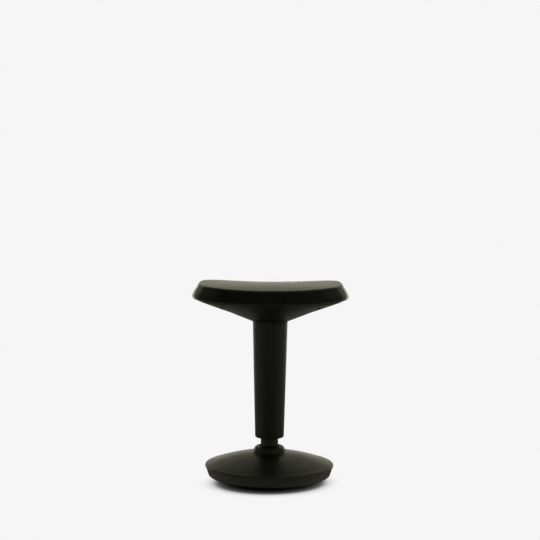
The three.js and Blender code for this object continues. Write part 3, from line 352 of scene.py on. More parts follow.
def surface_texture(name, stretch):
    """Group: Height is fine noise, Size millimetres across and drawn out by one over the stretch
    along each axis, and Unevenness is slow blotches several centimetres across."""
    group, work, given, put = effect_group(
        name, {"Size": 0.7, "Blotch size": 45.0}, {"Height": 0.0, "Unevenness": 0.0})
    place = work.add("TexCoord").outputs["Object"]
    drawn = work.add("Mapping", {"Vector": place, "Scale": stretch}).outputs[0]
    noises = (("Size", drawn, 3.0, "Height"), ("Blotch size", place, 4.0, "Unevenness"))
    for size, source, detail, result in noises:
        per_metre = work.sum_of("DIVIDE", 1000, given[size])
        noise = work.add("TexNoise", {"Vector": source, "Scale": per_metre, "Detail": detail})
        work.feed(put[result], noise.outputs["Fac"])
    return group


def use_marks():
    """Group: what handling does to a surface, and a painted highlight. Edges lighten where the mesh is
    convex, broken up by noise: worn edges on most finishes, a painted highlight on the dome's and
    collar's black. Dust settles on faces that look up. Colour is the mix and Matt the dusted share."""
    group, work, given, put = effect_group(
        "use_marks",
        {"Colour": (0.01, 0.01, 0.01, 1), "Edge colour": (0.03, 0.03, 0.03, 1), "Edge wear": 0.3,
         "Edge start": 0.53, "Edge full": 0.62, "Dust colour": (0.1, 0.1, 0.095, 1), "Dust": 0.05},
        {"Colour": (0.0, 0.0, 0.0, 1), "Matt": 0.0},
    )
    place = work.add("TexCoord").outputs["Object"]
    shape = work.add("NewGeometry").outputs
    edge_inputs = {"Value": shape["Pointiness"], "From Min": given["Edge start"],
                   "From Max": given["Edge full"]}
    edge = work.add("MapRange", edge_inputs).outputs[0]
    edge_noise = work.add("TexNoise", {"Vector": place, "Scale": 60, "Detail": 5}).outputs["Fac"]
    noisy_edge = work.sum_of("MULTIPLY", edge, edge_noise)
    # The share of edge lightening: edge wear on most finishes, a painted highlight on the dome's and
    # collar's black.
    wear_and_highlight = work.sum_of("MULTIPLY", noisy_edge, given["Edge wear"], clamp=True)
    upward = work.add("SeparateXYZ", {0: shape["Normal"]}).outputs["Z"]
    level = work.add("MapRange", {"Value": upward, "From Min": 0.6}).outputs[0]
    speck_inputs = {"Vector": place, "Scale": 28, "Detail": 8, "Roughness": 0.7}
    specks = work.add("TexNoise", speck_inputs).outputs["Fac"]
    settled = work.sum_of("MULTIPLY", level, specks)
    dust = work.sum_of("MULTIPLY", settled, given["Dust"], clamp=True)
    edged = work.mixed(wear_and_highlight, given["Colour"], given["Edge colour"])
    work.feed(put["Colour"], work.mixed(dust, edged, given["Dust colour"]))
    work.feed(put["Matt"], dust)
    return group


mould_grain = surface_texture("mould_grain", (1, 1, 1))
turning_marks = surface_texture("turning_marks", (0.08, 0.08, 1))
marks_group = use_marks()


def finish(name, colour, roughness, grain=0.7, depth=0.03, metallic=0.0, specular=0.5,
           variation=0.1, edge=(0.03, 0.03, 0.029, 1), wear_and_highlight=0.25, edge_range=(0.53, 0.62), dust=0.03,
           texture=mould_grain):
    """A material from the two groups: the marks give its colour, the blotches and the dust shift
    its roughness by the variation, and the grain, depth millimetres deep, gives its bump."""
    material, work = bare_material(name)
    skin = work.add("Group", {"Size": grain}, node_tree=texture).outputs
    mark_inputs = {"Colour": colour, "Edge colour": edge, "Edge wear": wear_and_highlight, "Dust": dust,
                   "Edge start": edge_range[0], "Edge full": edge_range[1]}
    marks = work.add("Group", mark_inputs, node_tree=marks_group).outputs
    rough = work.add("MapRange", {"Value": skin["Unevenness"], "To Min": roughness - variation,
                                  "To Max": roughness + variation}).outputs[0]
    matt = work.sum_of("ADD", rough, marks["Matt"], clamp=True)
    bump = work.add("Bump", {"Height": skin["Height"], "Strength": 0.6, "Distance": depth / 1000})
    shader = work.add("BsdfPrincipled", {
        "Base Color": marks["Colour"], "Roughness": matt, "Normal": bump.outputs["Normal"],
        "Metallic": metallic, "Specular IOR Level": specular,
    })
    work.add("OutputMaterial", {"Surface": shader.outputs[0]})
    return material


sole_rubber = finish("sole_rubber", sole_colour, 0.78, grain=1.4, depth=0.08,
                     specular=0.35, edge=rubber_dust, wear_and_highlight=0.5, dust=0.0)
out_radii = np.linspace(0, sole_radius, 60)
sole_outline = np.vstack([
    np.stack([out_radii, rocker_height(out_radii)], 1),
    np.stack([out_radii, rocker_height(out_radii) + sole_thickness], 1)[::-1],
])
rocker_sole = turned_piece("rocker_sole_rubber", sole_outline, sole_rubber)
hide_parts("rocker_sole")
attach(rocker_sole, "base")


# Lower shell of the base
# A moulded bowl with the leaning band that shows under the groove. It carries the ballast and is
# screwed up into the dome from below.
band_foot = (175, 23.5)
band_bend_height = 34
band_top_height = 46.4
rim_line = (184.8, 52.8)
shell_wall = 3.5
sole_gap = 0.3
bowl_pull_radius = 171.75
rib_radius = 104
rib_width = 15
rib_top = 13.7
head_pocket_radius = 6.4
head_seat_height = 11.4
screw_hole_radius = 3.4
screw_hole_top = 30
shell_black = (0.0068, 0.0068, 0.0057, 1)


def band_radius(height):
    """Radius of the leaning band: a straight line from its foot to the dome's rim."""
    share = (height - band_foot[1]) / (rim_line[1] - band_foot[1])
    return band_foot[0] + (rim_line[0] - band_foot[0]) * share


def on_curve(radii, lift):
    """Outline points at these radii, the lift above the rocking surface."""
    return [(radius, rocker_height(radius) + lift, 0) for radius in radii]


moulded_black = finish("moulded_black", shell_black, 0.42, grain=0.8, depth=0.02, dust=0.02)
edge_radius = sole_radius + sole_gap
bowl_radius = edge_radius + sole_gap
inner_line = np.linspace(edge_radius, 0, 40)
inner_lift = sole_thickness + sole_gap + shell_wall
rib_outer, rib_inner = rib_radius + rib_width / 2, rib_radius - rib_width / 2
lower_outline = [
    *on_curve(np.linspace(0, edge_radius, 40), sole_thickness + sole_gap),
    *on_curve([edge_radius], 0),
    *pulled_curve((bowl_radius, rocker_height(bowl_radius)),
                  (bowl_pull_radius, rocker_height(bowl_pull_radius)), band_foot, 16),
    (band_radius(band_bend_height), band_bend_height, 0),
    (band_radius(band_top_height), band_top_height, 0.6),
    (band_radius(band_top_height) - shell_wall, band_top_height, 0.4),
    (band_foot[0] - shell_wall, band_foot[1] + shell_wall, 2),
    *on_curve(inner_line[inner_line > rib_outer], inner_lift),
    (rib_outer, rib_top, 0.4),
    (rib_inner, rib_top, 0.4),
    *on_curve(inner_line[inner_line < rib_inner], inner_lift),
]
lower_shell = turned_piece("lower_shell_moulding", rounded_outline(lower_outline), moulded_black)


def stepped_rod(centre, outline, steps=36):
    """The points and faces of an outline (radius, height) carried round an upright line."""
    radius, height = np.asarray(outline, float).T
    turn = 2 * np.pi * np.arange(steps) / steps
    ring = np.stack([np.cos(turn), np.sin(turn)], 1)
    plan = radius[:, None, None] * ring + np.array(centre)
    heights = np.broadcast_to(height[:, None, None], (len(radius), steps, 1))
    return np.concatenate([plan, heights], 2).reshape(-1, 3), skin_faces(len(radius), steps, False)


def one_mesh(name, solids, material):
    """Several solids, each points and faces, as one piece."""
    starts = np.cumsum([0] + [len(points) for points, _ in solids])
    faces = [own + start for (_, own), start in zip(solids, starts)]
    return new_piece(name, np.vstack([points for points, _ in solids]), np.vstack(faces), material)


def combine(piece, solids, operation):
    """The piece with the solids joined on (UNION) or cut away (DIFFERENCE)."""
    tool = one_mesh("tool", solids, piece.data.materials[0])
    step = piece.modifiers.new("combine", "BOOLEAN")
    step.operation, step.object, step.solver = operation, tool, "EXACT"
    with bpy.context.temp_override(object=piece, active_object=piece):
        bpy.ops.object.modifier_apply(modifier=step.name)
    bpy.data.objects.remove(tool)
    piece.data.polygons.foreach_set("use_smooth", np.ones(len(piece.data.polygons), bool))
    piece.data.set_sharp_from_angle(angle=crease_angle)


def four_places(reach_x, reach_y):
    """The same distances from the middle, towards each of the four corners."""
    return [(x * reach_x, y * reach_y) for x in (1, -1) for y in (1, -1)]


base_screw_places = four_places(rib_radius / math.sqrt(2), rib_radius / math.sqrt(2))
head_pocket = [
    (0, 0), (head_pocket_radius, 0), (head_pocket_radius, head_seat_height),
    (screw_hole_radius, head_seat_height), (screw_hole_radius, screw_hole_top), (0, screw_hole_top),
]
combine(lower_shell, [stepped_rod(place, head_pocket) for place in base_screw_places], "DIFFERENCE")
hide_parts("lower_shell")
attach(lower_shell, "base")


# Ballast and hub
# A cast-iron ring brings the tipped stool upright, and the pressed hub bolted to it holds the tube.
# Four zinc-plated screws clamp the shell, the ballast and the dome together.
def dress(material, *names):
    """Gives the CAD nodes of these names the material."""
    for name in names:
        for place in nodes[name].material_slots:
            place.material = material


def numbered(name, count=4):
    """The names of like nodes, numbered from 1."""
    return [f"{name}_{number}" for number in range(1, count + 1)]


cast_iron = finish("cast_iron", (0.04, 0.04, 0.038, 1), 0.72, grain=2.4, depth=0.35, specular=0.4,
                   edge=(0.11, 0.105, 0.1, 1), wear_and_highlight=0.5, dust=0.05)
enamelled_steel = finish("enamelled_steel", (0.012, 0.012, 0.011, 1), 0.4, grain=2.5, depth=0.01,
                         variation=0.08, edge=(0.09, 0.09, 0.088, 1), wear_and_highlight=0.4, dust=0.02)
zinc_plated = finish("zinc_plated", (0.5, 0.51, 0.49, 1), 0.36, grain=0.5, depth=0.012, metallic=1.0,
                     variation=0.12, edge=(0.68, 0.68, 0.66, 1), wear_and_highlight=0.5, dust=0.02)
dress(cast_iron, "ballast_weight")
dress(enamelled_steel, "hub_socket")
dress(zinc_plated, *numbered("hub_bolt"), *numbered("base_screw"))


# Dome of the base
# The upper moulding, with a rounded rim above the groove, a long shallow slope and a lift to the
# collar. A stepped tongue inside the groove locates it in the lower shell.
dome_skirt_foot = 47.0
rim_foot = (rim_line[0] - 0.1, 48.6)
rim_pull = (rim_line[0] + 0.2, 54)
rim_end_radius = 178.5
rim_rounding = 4
slope_top = (58, 84.75)
neck_fillet = 52
fillet_pull_radius = 46.9
dome_top = (46.5, 93.4)
dome_hole_radius = 40
dome_wall = 3.2
dome_crown = 3.8
groove_depth = 2.6
tongue_foot = 43.4
tongue_step = 46.7
tongue_gap = 0.7
tongue_width = 2.4
dome_boss_radius = 8
dome_boss_foot = 31.3
dome_bore_radius = 3.3
dome_bore_foot = 20
dome_bore_top = 59.3


def dome_height(radius):
    """Height of the dome's slope: a straight line from rim to fillet, plus a crown 4s(1-s) high."""
    outer = rim_line[0] - rim_rounding
    share = (outer - np.asarray(radius, float)) / (outer - slope_top[0])
    foot = rim_line[1] + rim_rounding / 4
    return foot + (slope_top[1] - foot) * share + dome_crown * 4 * share * (1 - share)


slope_radii = np.linspace(rim_end_radius, neck_fillet, 24)
tongue_radius = band_radius(tongue_foot) - shell_wall - tongue_gap
groove_radius = band_radius(dome_skirt_foot) - groove_depth
dome_outline = [
    (band_radius(dome_skirt_foot), dome_skirt_foot, 0.5),
    *pulled_curve(rim_foot, rim_pull, (rim_end_radius, dome_height(rim_end_radius)), 14),
    *[(radius, dome_height(radius), 0) for radius in slope_radii[1:]],
    *pulled_curve((neck_fillet, dome_height(neck_fillet)),
                  (fillet_pull_radius, dome_height(fillet_pull_radius)), dome_top, 14)[1:],
    (dome_hole_radius, dome_top[1], 0.3),
    (dome_hole_radius, dome_top[1] - dome_wall, 0.3),
    *[(radius, dome_height(radius) - dome_wall, 0) for radius in slope_radii[::-1]],
    (tongue_radius - tongue_width, rim_line[1] - dome_wall, 1),
    (tongue_radius - tongue_width, tongue_foot, 0.3),
    (tongue_radius, tongue_foot, 0.3),
    (band_radius(band_top_height) - shell_wall - tongue_gap, tongue_step, 0),
    (groove_radius, tongue_step, 0),
    (groove_radius, dome_skirt_foot, 0),
]
# A black whose convex edges are painted light, broken up by noise: a painted highlight along the dome's
# rim and the collar's fillet, laid on through the edge lightening of the marks group.
edge_highlight_black = finish("edge_highlight_black", shell_black, 0.42, grain=0.8, depth=0.02, dust=0.02,
                       edge=(0.15, 0.15, 0.13, 1), wear_and_highlight=1.0, edge_range=(0.503, 0.53))
dome_cover = turned_piece("dome_moulding", rounded_outline(dome_outline), edge_highlight_black)
dome_boss_top = dome_height(rib_radius + dome_boss_radius) - dome_wall / 2
dome_boss = [(0, dome_boss_foot), (dome_boss_radius, dome_boss_foot),
             (dome_boss_radius, dome_boss_top), (0, dome_boss_top)]
dome_bore = [(0, dome_bore_foot), (dome_bore_radius, dome_bore_foot),
             (dome_bore_radius, dome_bore_top), (0, dome_bore_top)]
combine(dome_cover, [stepped_rod(place, dome_boss) for place in base_screw_places], "UNION")
combine(dome_cover, [stepped_rod(place, dome_bore) for place in base_screw_places], "DIFFERENCE")
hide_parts("dome_cover")
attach(dome_cover, "base")


# Collar
# A rounded ring that snaps into the dome's hole and hides the gap round the tube.
collar_foot = (45.9, 93.7)
collar_pull = (41.6, 104.6)
collar_crest = (35, 105.3)
collar_bore = 28.5
collar_bore_top = 100.5
collar_outline = [
    *pulled_curve((collar_bore, collar_bore_top), (collar_bore, collar_crest[1]), collar_crest, 10),
    *pulled_curve(collar_crest, collar_pull, collar_foot, 14)[1:],
    (39.5, collar_foot[1], 0.2), (39.5, 89.9, 0.2), (40.9, 89.9, 0.3), (39.5, 87.3, 0),
    (39.5, 84.4, 0.5), (35.5, 84.4, 0.5), (35.5, collar_foot[1], 0.5), (collar_bore, 97.7, 0.5),
]
# The collar's convex edges carry the same painted highlight as the dome's rim.
collar = turned_piece("collar_moulding", rounded_outline(collar_outline), edge_highlight_black, 144)
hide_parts("collar_ring")
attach(collar, "base")


# Outer tube of the gas lift
# Drawn steel tube with black enamel, pressed into the hub below and open at the top. The cover
# slides down over it.
tube_radius = 25
tube_wall = 1.5
tube_foot_height = 15
tube_foot_bore = 7
tube_taper_top = 86
tube_top_height = 432
tube_paint = finish("tube_paint", (0.03, 0.03, 0.027, 1), 0.32, grain=2.5, depth=0.006,
                    variation=0.06, wear_and_highlight=0.3, edge=(0.05, 0.05, 0.05, 1), dust=0.01)
tube_outline = [
    (tube_foot_bore, tube_foot_height, 0.3),
    (24.3, tube_foot_height, 1.5),
    (tube_radius, tube_taper_top, 0),
    (tube_radius, tube_top_height, 0.4),
    (tube_radius - tube_wall, tube_top_height, 0.4),
    (tube_radius - tube_wall, tube_taper_top, 0),
    (22.8, 18, 1),
    (tube_foot_bore, 18, 0.3),
]
outer_tube = turned_piece("outer_tube_steel", rounded_outline(tube_outline), tube_paint, 128)
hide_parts("outer_tube")
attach(outer_tube, "base")


# Works of the gas lift
# A turned cylinder with its piston, gland and valve slides in a plastic bush, and its rod hangs on
# a ball bearing, washer and clip in the tube's foot, over a rubber bumper.
ground_steel = finish("ground_steel", (0.6, 0.6, 0.59, 1), 0.24, grain=0.35, depth=0.006, metallic=1.0,
                      variation=0.06, edge=(0.7, 0.7, 0.69, 1), wear_and_highlight=0.3, dust=0.0, texture=turning_marks)
turned_brass = finish("turned_brass", (0.45, 0.32, 0.11, 1), 0.3, grain=0.4, depth=0.01, metallic=1.0,
                      variation=0.08, edge=(0.6, 0.44, 0.18, 1), wear_and_highlight=0.4, dust=0.0, texture=turning_marks)
slick_plastic = finish("slick_plastic", (0.62, 0.61, 0.56, 1), 0.38, grain=0.9, depth=0.02,
                       edge=(0.7, 0.69, 0.64, 1), wear_and_highlight=0.3)
bumper_rubber = finish("bumper_rubber", (0.006, 0.006, 0.0055, 1), 0.7, grain=1.1, depth=0.06,
                       specular=0.35, edge=rubber_dust, wear_and_highlight=0.5)
dress(ground_steel, "bearing_lower_race", "bearing_upper_race", "bearing_ball_cage", "piston_rod",
      "rod_clip", "valve_pin")
dress(turned_brass, "piston", "valve_body")
dress(slick_plastic, "tube_guide_bush", "rod_gland")
dress(enamelled_steel, "pressure_cylinder")
dress(bumper_rubber, "rubber_bumper")
dress(zinc_plated, "rod_washer")


# Column cover
# A moulded tapering tube that hangs from the seat plate and hides the lift. Its rounded foot turns
# in round the tube, and its shoulder meets the funnel in a fine seam.
cover_foot_height = 130.4
cover_foot_radius = 41.35
cover_foot_bore = 37
cover_foot_end = (cover_foot_radius + 0.1, 135.2)
cover_top_radius = 50
cover_wall = 2.6
shoulder_height = 462.2
inner_shoulder_height = 462.3
spigot_radius = 46.4
spigot_top = 478
neck_radius = 45
neck_foot = 480.6
roof_height = 502.5
roof_thickness = 3
roof_bore_radius = 20.2
roof_screw_radius = 32
roof_hole_radius = 2.2
roof_hole_span = (roof_height - 8, roof_height + 5)
cover_outline = [
    *pulled_curve((cover_foot_bore, cover_foot_height), (cover_foot_radius, cover_foot_height),
                  cover_foot_end, 14),
    (cover_top_radius, shoulder_height, 0.5),
    (spigot_radius, shoulder_height, 0.3),
    (spigot_radius, spigot_top, 0.5),
    (neck_radius, neck_foot, 0.5),
    (neck_radius, roof_height, 1),
    (roof_bore_radius, roof_height, 0.3),
    (roof_bore_radius, roof_height - roof_thickness, 0.3),
    (neck_radius - cover_wall, roof_height - roof_thickness, 1),
    (neck_radius - cover_wall, spigot_top, 0.5),
    (spigot_radius - cover_wall, inner_shoulder_height, 0.5),
    (cover_foot_radius - cover_wall, 136, 0.5),
    (cover_foot_radius - cover_wall, 131.7, 0.3),
]
column_cover = turned_piece("column_cover_moulding", rounded_outline(cover_outline), moulded_black)
roof_turns = [math.pi / 2 + number * 2 * math.pi / 3 for number in range(3)]
roof_hole = [(0, roof_hole_span[0]), (roof_hole_radius, roof_hole_span[0]),
             (roof_hole_radius, roof_hole_span[1]), (0, roof_hole_span[1])]
combine(column_cover, [
    stepped_rod((roof_screw_radius * math.cos(turn), roof_screw_radius * math.sin(turn)), roof_hole)
    for turn in roof_turns
], "DIFFERENCE")
dress(zinc_plated, *numbered("cover_screw", 3))
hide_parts("column_cover")
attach(column_cover, "seat")


# End ring of the column cover
# A small moulded channel ring pressed into the cover's foot, running along the tube.
ring_outline = [
    (25.8, 132.4, 0.6), (38.4, 132.4, 0.4), (38.4, 141.4, 0.4), (35.8, 141.4, 0.3),
    (35.8, 135, 0.5), (28.4, 135, 0.5), (28.4, 141.4, 0.3), (25.8, 141.4, 0.4),
]
end_ring = turned_piece("end_ring_moulding", rounded_outline(ring_outline), moulded_black, 128)
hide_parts("cover_end_ring")
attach(end_ring, "seat")


# Funnel
# The inner cone under the seat. A short round neck stands on the column cover and bends into the
# cone, whose edge laps under the seat's shell.
funnel_radius = 118
funnel_top = 492.6
funnel_edge_gap = 0.3
funnel_edge_rise = 2.2
funnel_foot = 462.5
funnel_bore = 46.7
funnel_inner_bend = (49.2, 469.5)
funnel_outline = [
    (funnel_bore, funnel_foot, 0.3),
    (cover_top_radius, funnel_foot, 0.5),
    *pulled_curve((cover_top_radius, 463.2), (cover_top_radius, 465.6), (56.4, 467.6), 12),
    (funnel_radius - funnel_edge_gap, funnel_top - funnel_edge_gap, 0.5),
    (funnel_radius - funnel_edge_gap, funnel_top + funnel_edge_rise, 0.4),
    (*funnel_inner_bend, 2),
    (funnel_bore, funnel_inner_bend[1], 0.3),
]
funnel = turned_piece("funnel_moulding", rounded_outline(funnel_outline), moulded_black)
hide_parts("funnel_cover")
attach(funnel, "seat")


# Underside shell of the seat
# A moulded tray from the funnel out to the pad's lip, screwed to the board through four deep
# recesses, with an opening at the rear for the release paddle.
seat_width = 443
seat_depth = 380
plan_power = 3.5
plan_steps = 400
side_reach = 195.5
lip_height = 529
lip_rise = 9.8
lip_foot_height = 526.7
lip_foot_rise = 7.6
shell_inset = 16
shell_edge_height = 523.2
shell_edge_rise = 7.3
slope_crown = 0.5
pad_gap = 0.3
tray_wall = 2.5
rim_inner_share = 0.985
lap_width = 9
lap_lifts = (3.2, 5.5)
tray_screw_reach = (132.8, 117.8)
boss_radius = 7
boss_foot = 512
boss_top = 531.7
recess_radius = 4.4
screw_seat = 522
tray_hole_radius = 2.4
cut_foot = 470
cut_top = 540
paddle_half_width = 34
paddle_near, paddle_far = 122, 149
paddle_gap = 1.2
opening_rounding = 4.2


def seat_plan():
    """Evenly spaced points of the seat's squared-off oval, where |x|^p + |y|^p = 1."""
    turn = np.linspace(0, 2 * np.pi, 40001)
    x = np.sign(np.cos(turn)) * np.abs(np.cos(turn)) ** (2 / plan_power)
    y = np.sign(np.sin(turn)) * np.abs(np.sin(turn)) ** (2 / plan_power)
    along = np.append(0, np.cumsum(np.hypot(np.diff(x) * seat_width, np.diff(y) * seat_depth)))
    even = np.arange(plan_steps) / plan_steps * along[-1]
    return np.interp(even, along, x), np.interp(even, along, y)


plan_x, plan_y = seat_plan()


def plan_ring(inset, height):
    """One ring of the seat's plan, drawn in by the inset, at height(x)."""
    x = (seat_width / 2 - inset) * plan_x
    y = (seat_depth / 2 - inset) * plan_y
    return np.stack([x, y, np.broadcast_to(height(x), x.shape)], 1)


def rising(height, rise, reach=side_reach):
    """The height as a function of x: it rises as the square of the way to the side."""
    return lambda x: height + rise * (x / reach) ** 2


lip_line = rising(lip_height, lip_rise)
lip_foot = rising(lip_foot_height, lip_foot_rise)
shell_edge = rising(shell_edge_height, shell_edge_rise, seat_width / 2)


def slope_ring(share, lift):
    """A ring of the sloping underside: the same share of the way from each point of the funnel's
    circle to the shell's edge, bulging down by a crown 4s(1-s) high."""
    edge = plan_ring(shell_inset, shell_edge)
    turn = np.arctan2(plan_y * abs(plan_y) ** (plan_power / 2 - 1),
                      plan_x * abs(plan_x) ** (plan_power / 2 - 1))
    circle = np.stack([funnel_radius * np.cos(turn), funnel_radius * np.sin(turn),
                       np.full(len(turn), funnel_top)], 1)
    ring = circle + (edge - circle) * share
    ring[:, 2] += lift - slope_crown * 4 * share * (1 - share)
    return ring


def drawn_in(ring, share):
    """The same ring with its width and depth times the share."""
    return ring * np.array([share, share, 1])


tray_rim = plan_ring(shell_inset, lambda x: lip_foot(x) - pad_gap)
lap_share = (funnel_radius - lap_width) / funnel_radius
shares = np.linspace(0, 1, 15)
tray_rings = [
    *[slope_ring(share, 0) for share in shares],
    tray_rim,
    drawn_in(tray_rim, rim_inner_share),
    drawn_in(slope_ring(1, tray_wall), rim_inner_share),
    *[slope_ring(share, tray_wall) for share in shares[-2:0:-1]],
    slope_ring(0, lap_lifts[1]),
    drawn_in(slope_ring(0, lap_lifts[1]), lap_share),
    drawn_in(slope_ring(0, lap_lifts[0]), lap_share),
    slope_ring(0, lap_lifts[0]),
]
tray_points = np.array(tray_rings)[:, ::2]
tray = new_piece("underside_moulding", tray_points, skin_faces(*tray_points.shape[:2]), moulded_black)


def prism(plan, low, high):
    """The points and faces of an upright solid over a closed plan, from one height to another. A
    height is one number, or one for each point of the plan."""
    plan = np.asarray(plan, float)
    walls = [np.column_stack([plan, np.full(len(plan), height)]) for height in (low, high)]
    ends = [np.broadcast_to([*plan.mean(0), np.mean(height)], (len(plan), 3)) for height in (low, high)]
    return np.vstack([ends[0], *walls, ends[1]]), skin_faces(4, len(plan), False)


def box_plan(low, high, rounding, steps=7):
    """Points of a rectangle from its low corner to its high corner, with rounded corners."""
    (left, near), (right, far) = low, high
    quarter = np.linspace(0, np.pi / 2, steps)
    corners = [(right, far, 0), (left, far, 1), (left, near, 2), (right, near, 3)]
    points = []
    for x, y, quadrant in corners:
        turn = quarter + quadrant * np.pi / 2
        middle = np.array([x, y]) - rounding * np.sign([x - (left + right) / 2, y - (near + far) / 2])
        points.append(middle + rounding * np.stack([np.cos(turn), np.sin(turn)], 1))
    return np.vstack(points)


tray_screw_places = four_places(*tray_screw_reach)
boss = [(0, boss_foot), (boss_radius, boss_foot), (boss_radius, boss_top), (0, boss_top)]
recess = [(0, cut_foot), (recess_radius, cut_foot), (recess_radius, screw_seat),
          (tray_hole_radius, screw_seat), (tray_hole_radius, cut_top), (0, cut_top)]
opening = box_plan((-paddle_half_width - paddle_gap, paddle_near - paddle_gap),
                   (paddle_half_width + paddle_gap, paddle_far + paddle_gap), opening_rounding)
cuts = [stepped_rod(place, recess) for place in tray_screw_places]
combine(tray, [stepped_rod(place, boss) for place in tray_screw_places], "UNION")
combine(tray, [*cuts, prism(opening, cut_foot, boss_top)], "DIFFERENCE")
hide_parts("underside_shell")
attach(tray, "seat")


# Screws of the underside shell
# Four zinc-plated pan-head wood screws with a cross recess, driven up through the tray's recesses
# into the board.
head_foot = 519.1
head_top = 521.7
shank_radius = 2
thread_start = 524.4
thread_end = 539.5
thread_pitch = 1.6
thread_core = 1.4
thread_depth = 0.6
point_length = 4
axis_radius = 0.001
screw_steps = 36
screw_outline = np.array([
    *pulled_curve((axis_radius, head_foot), (3.4, head_foot), (4, 520.9), 9),
    (4, head_top, 0), (shank_radius, head_top, 0), (shank_radius, 524, 0), (1.5, thread_start, 0),
])[:, :2]
cross = [(0.5, 0.5), (2.3, 0.5), (2.3, -0.5), (0.5, -0.5), (0.5, -2.3), (-0.5, -2.3),
         (-0.5, -0.5), (-2.3, -0.5), (-2.3, 0.5), (-0.5, 0.5), (-0.5, 2.3), (0.5, 2.3)]
cross_span = (518, 520.7)


def wood_screw(name, centre):
    """A pan-head screw, head down. Its thread is a wave of the radius that climbs one pitch with
    each turn: r = core + depth |sin(pi (z / pitch - turn / 2 pi))|^3, narrowing to the point."""
    along = np.linspace(thread_start, thread_end, 90)
    turn = 2 * np.pi * np.arange(screw_steps) / screw_steps
    wave = np.abs(np.sin(np.pi * (along[:, None] / thread_pitch - turn / (2 * np.pi)))) ** 3
    taper = np.clip((thread_end - along) / point_length, 0, 1)[:, None]
    radius = np.vstack([
        np.repeat(screw_outline[:, :1], screw_steps, 1),
        (thread_core + thread_depth * wave) * taper + axis_radius,
    ])
    height = np.append(screw_outline[:, 1], along)
    points = np.stack([
        centre[0] + radius * np.cos(turn),
        centre[1] + radius * np.sin(turn),
        np.repeat(height[:, None], screw_steps, 1),
    ], 2)
    screw = new_piece(name, points, skin_faces(len(height), screw_steps, False), zinc_plated)
    combine(screw, [prism(np.array(cross) + centre, *cross_span)], "DIFFERENCE")
    return screw


for number, corner in zip((1, 2, 3, 4), ((1, 1), (-1, 1), (-1, -1), (1, -1))):
    shell_screw = wood_screw(f"shell_screw_{number}_steel", np.array(corner) * tray_screw_reach)
    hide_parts(f"shell_screw_{number}")
    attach(shell_screw, "seat")


# Plugs of the underside shell
# Four moulded plugs pressed into the screws' recesses, flush with the shell's slope. Each is a
# hair wider than its recess, so it holds by friction.
plug_steps = 36
plug_reach = 14
plug_section = np.array([
    [0, 0], [1.5, 0], [3, 0], [4.3, 0], [4.43, 0.05], [4.47, 0.2], [4.47, 1.6], [0, 1.6],
])
slope_points = np.vstack([slope_ring(share, 0) for share in np.linspace(0, 1, 60)])


def slope_near(centre, reach):
    """Height of the shell's outer face near a place, as a function of x and y: the terms 1, u, v,
    u^2, uv, v^2 and u^2 v of the distances u and v from it, weighted to fit the rings' points."""

    def terms(x, y):
        u, v = (np.asarray(x) - centre[0]) / reach, (np.asarray(y) - centre[1]) / reach
        return np.stack([np.ones_like(u), u, v, u**2, u * v, v**2, u**2 * v], -1)

    near = slope_points[np.hypot(*(slope_points[:, :2] - centre).T) < reach]
    weights = np.linalg.lstsq(terms(*near[:, :2].T), near[:, 2], rcond=None)[0]
    return lambda x, y: terms(x, y) @ weights


def plug(centre):
    """The points and faces of one plug: its section (radius, depth) carried round the recess, each
    point lying that depth behind the slope above or below it."""
    turn = 2 * np.pi * np.arange(plug_steps) / plug_steps
    x = centre[0] + plug_section[:, :1] * np.cos(turn)
    y = centre[1] + plug_section[:, :1] * np.sin(turn)
    z = slope_near(centre, plug_reach)(x, y) + plug_section[:, 1:]
    return np.stack([x, y, z], -1).reshape(-1, 3), skin_faces(len(plug_section), plug_steps, False)


plugs = one_mesh("shell_plugs", [plug(place) for place in tray_screw_places], moulded_black)
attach(plugs, "seat")


# Release paddle
# A moulded finger plate that lies flush in the shell's rear opening, ridged for grip, with a
# square sleeve pushed on the end of the steel lever.
paddle_thickness = 2.5
paddle_rounding = 0.9
paddle_corner = 3
paddle_bevel = 0.4
paddle_steps = 240
ridge_pitch = 3.4
ridge_height = 0.6
ridges_each_side = 2.5
ridge_reach = 25
ridge_fade = 2
sleeve_lift = 1.2
sleeve_top = 521.6
lever_slot_span = (513.7, 519.3)
paddle_middle = (paddle_near + paddle_far) / 2
slope_height = slope_near((0, 135), 48)


def even_plan(plan, count):
    """Points at even distances round a closed plan."""
    closed = np.vstack([plan, plan[:1]])
    along = np.append(0, np.cumsum(np.hypot(*np.diff(closed, axis=0).T)))
    even = np.arange(count) / count * along[-1]
    return np.stack([np.interp(even, along, closed[:, 0]), np.interp(even, along, closed[:, 1])], 1)


def paddle_ring(inset, lift, share=1.0):
    """A ring of the paddle: its plan drawn in by the inset and times the share, lying on the slope
    plus the lift. On the outer face ridges of 1 + cos(2 pi y / pitch) stand down, fading out aside."""
    low = np.array([-paddle_half_width, paddle_near]) + inset
    high = np.array([paddle_half_width, paddle_far]) - inset
    plan = even_plan(box_plan(low, high, max(paddle_corner - inset, 0.4)), paddle_steps)
    x, y = ((plan - (low + high) / 2) * share + (low + high) / 2).T
    aside, along = np.abs(x), y - paddle_middle
    within = np.clip((ridge_reach - aside) / ridge_fade, 0, 1)
    within = within * (np.abs(along) < ridges_each_side * ridge_pitch)
    ridge = ridge_height * within * (1 + np.cos(2 * np.pi * along / ridge_pitch)) / 2
    return np.stack([x, y, slope_height(x, y) + lift - ridge * (lift == 0)], 1)


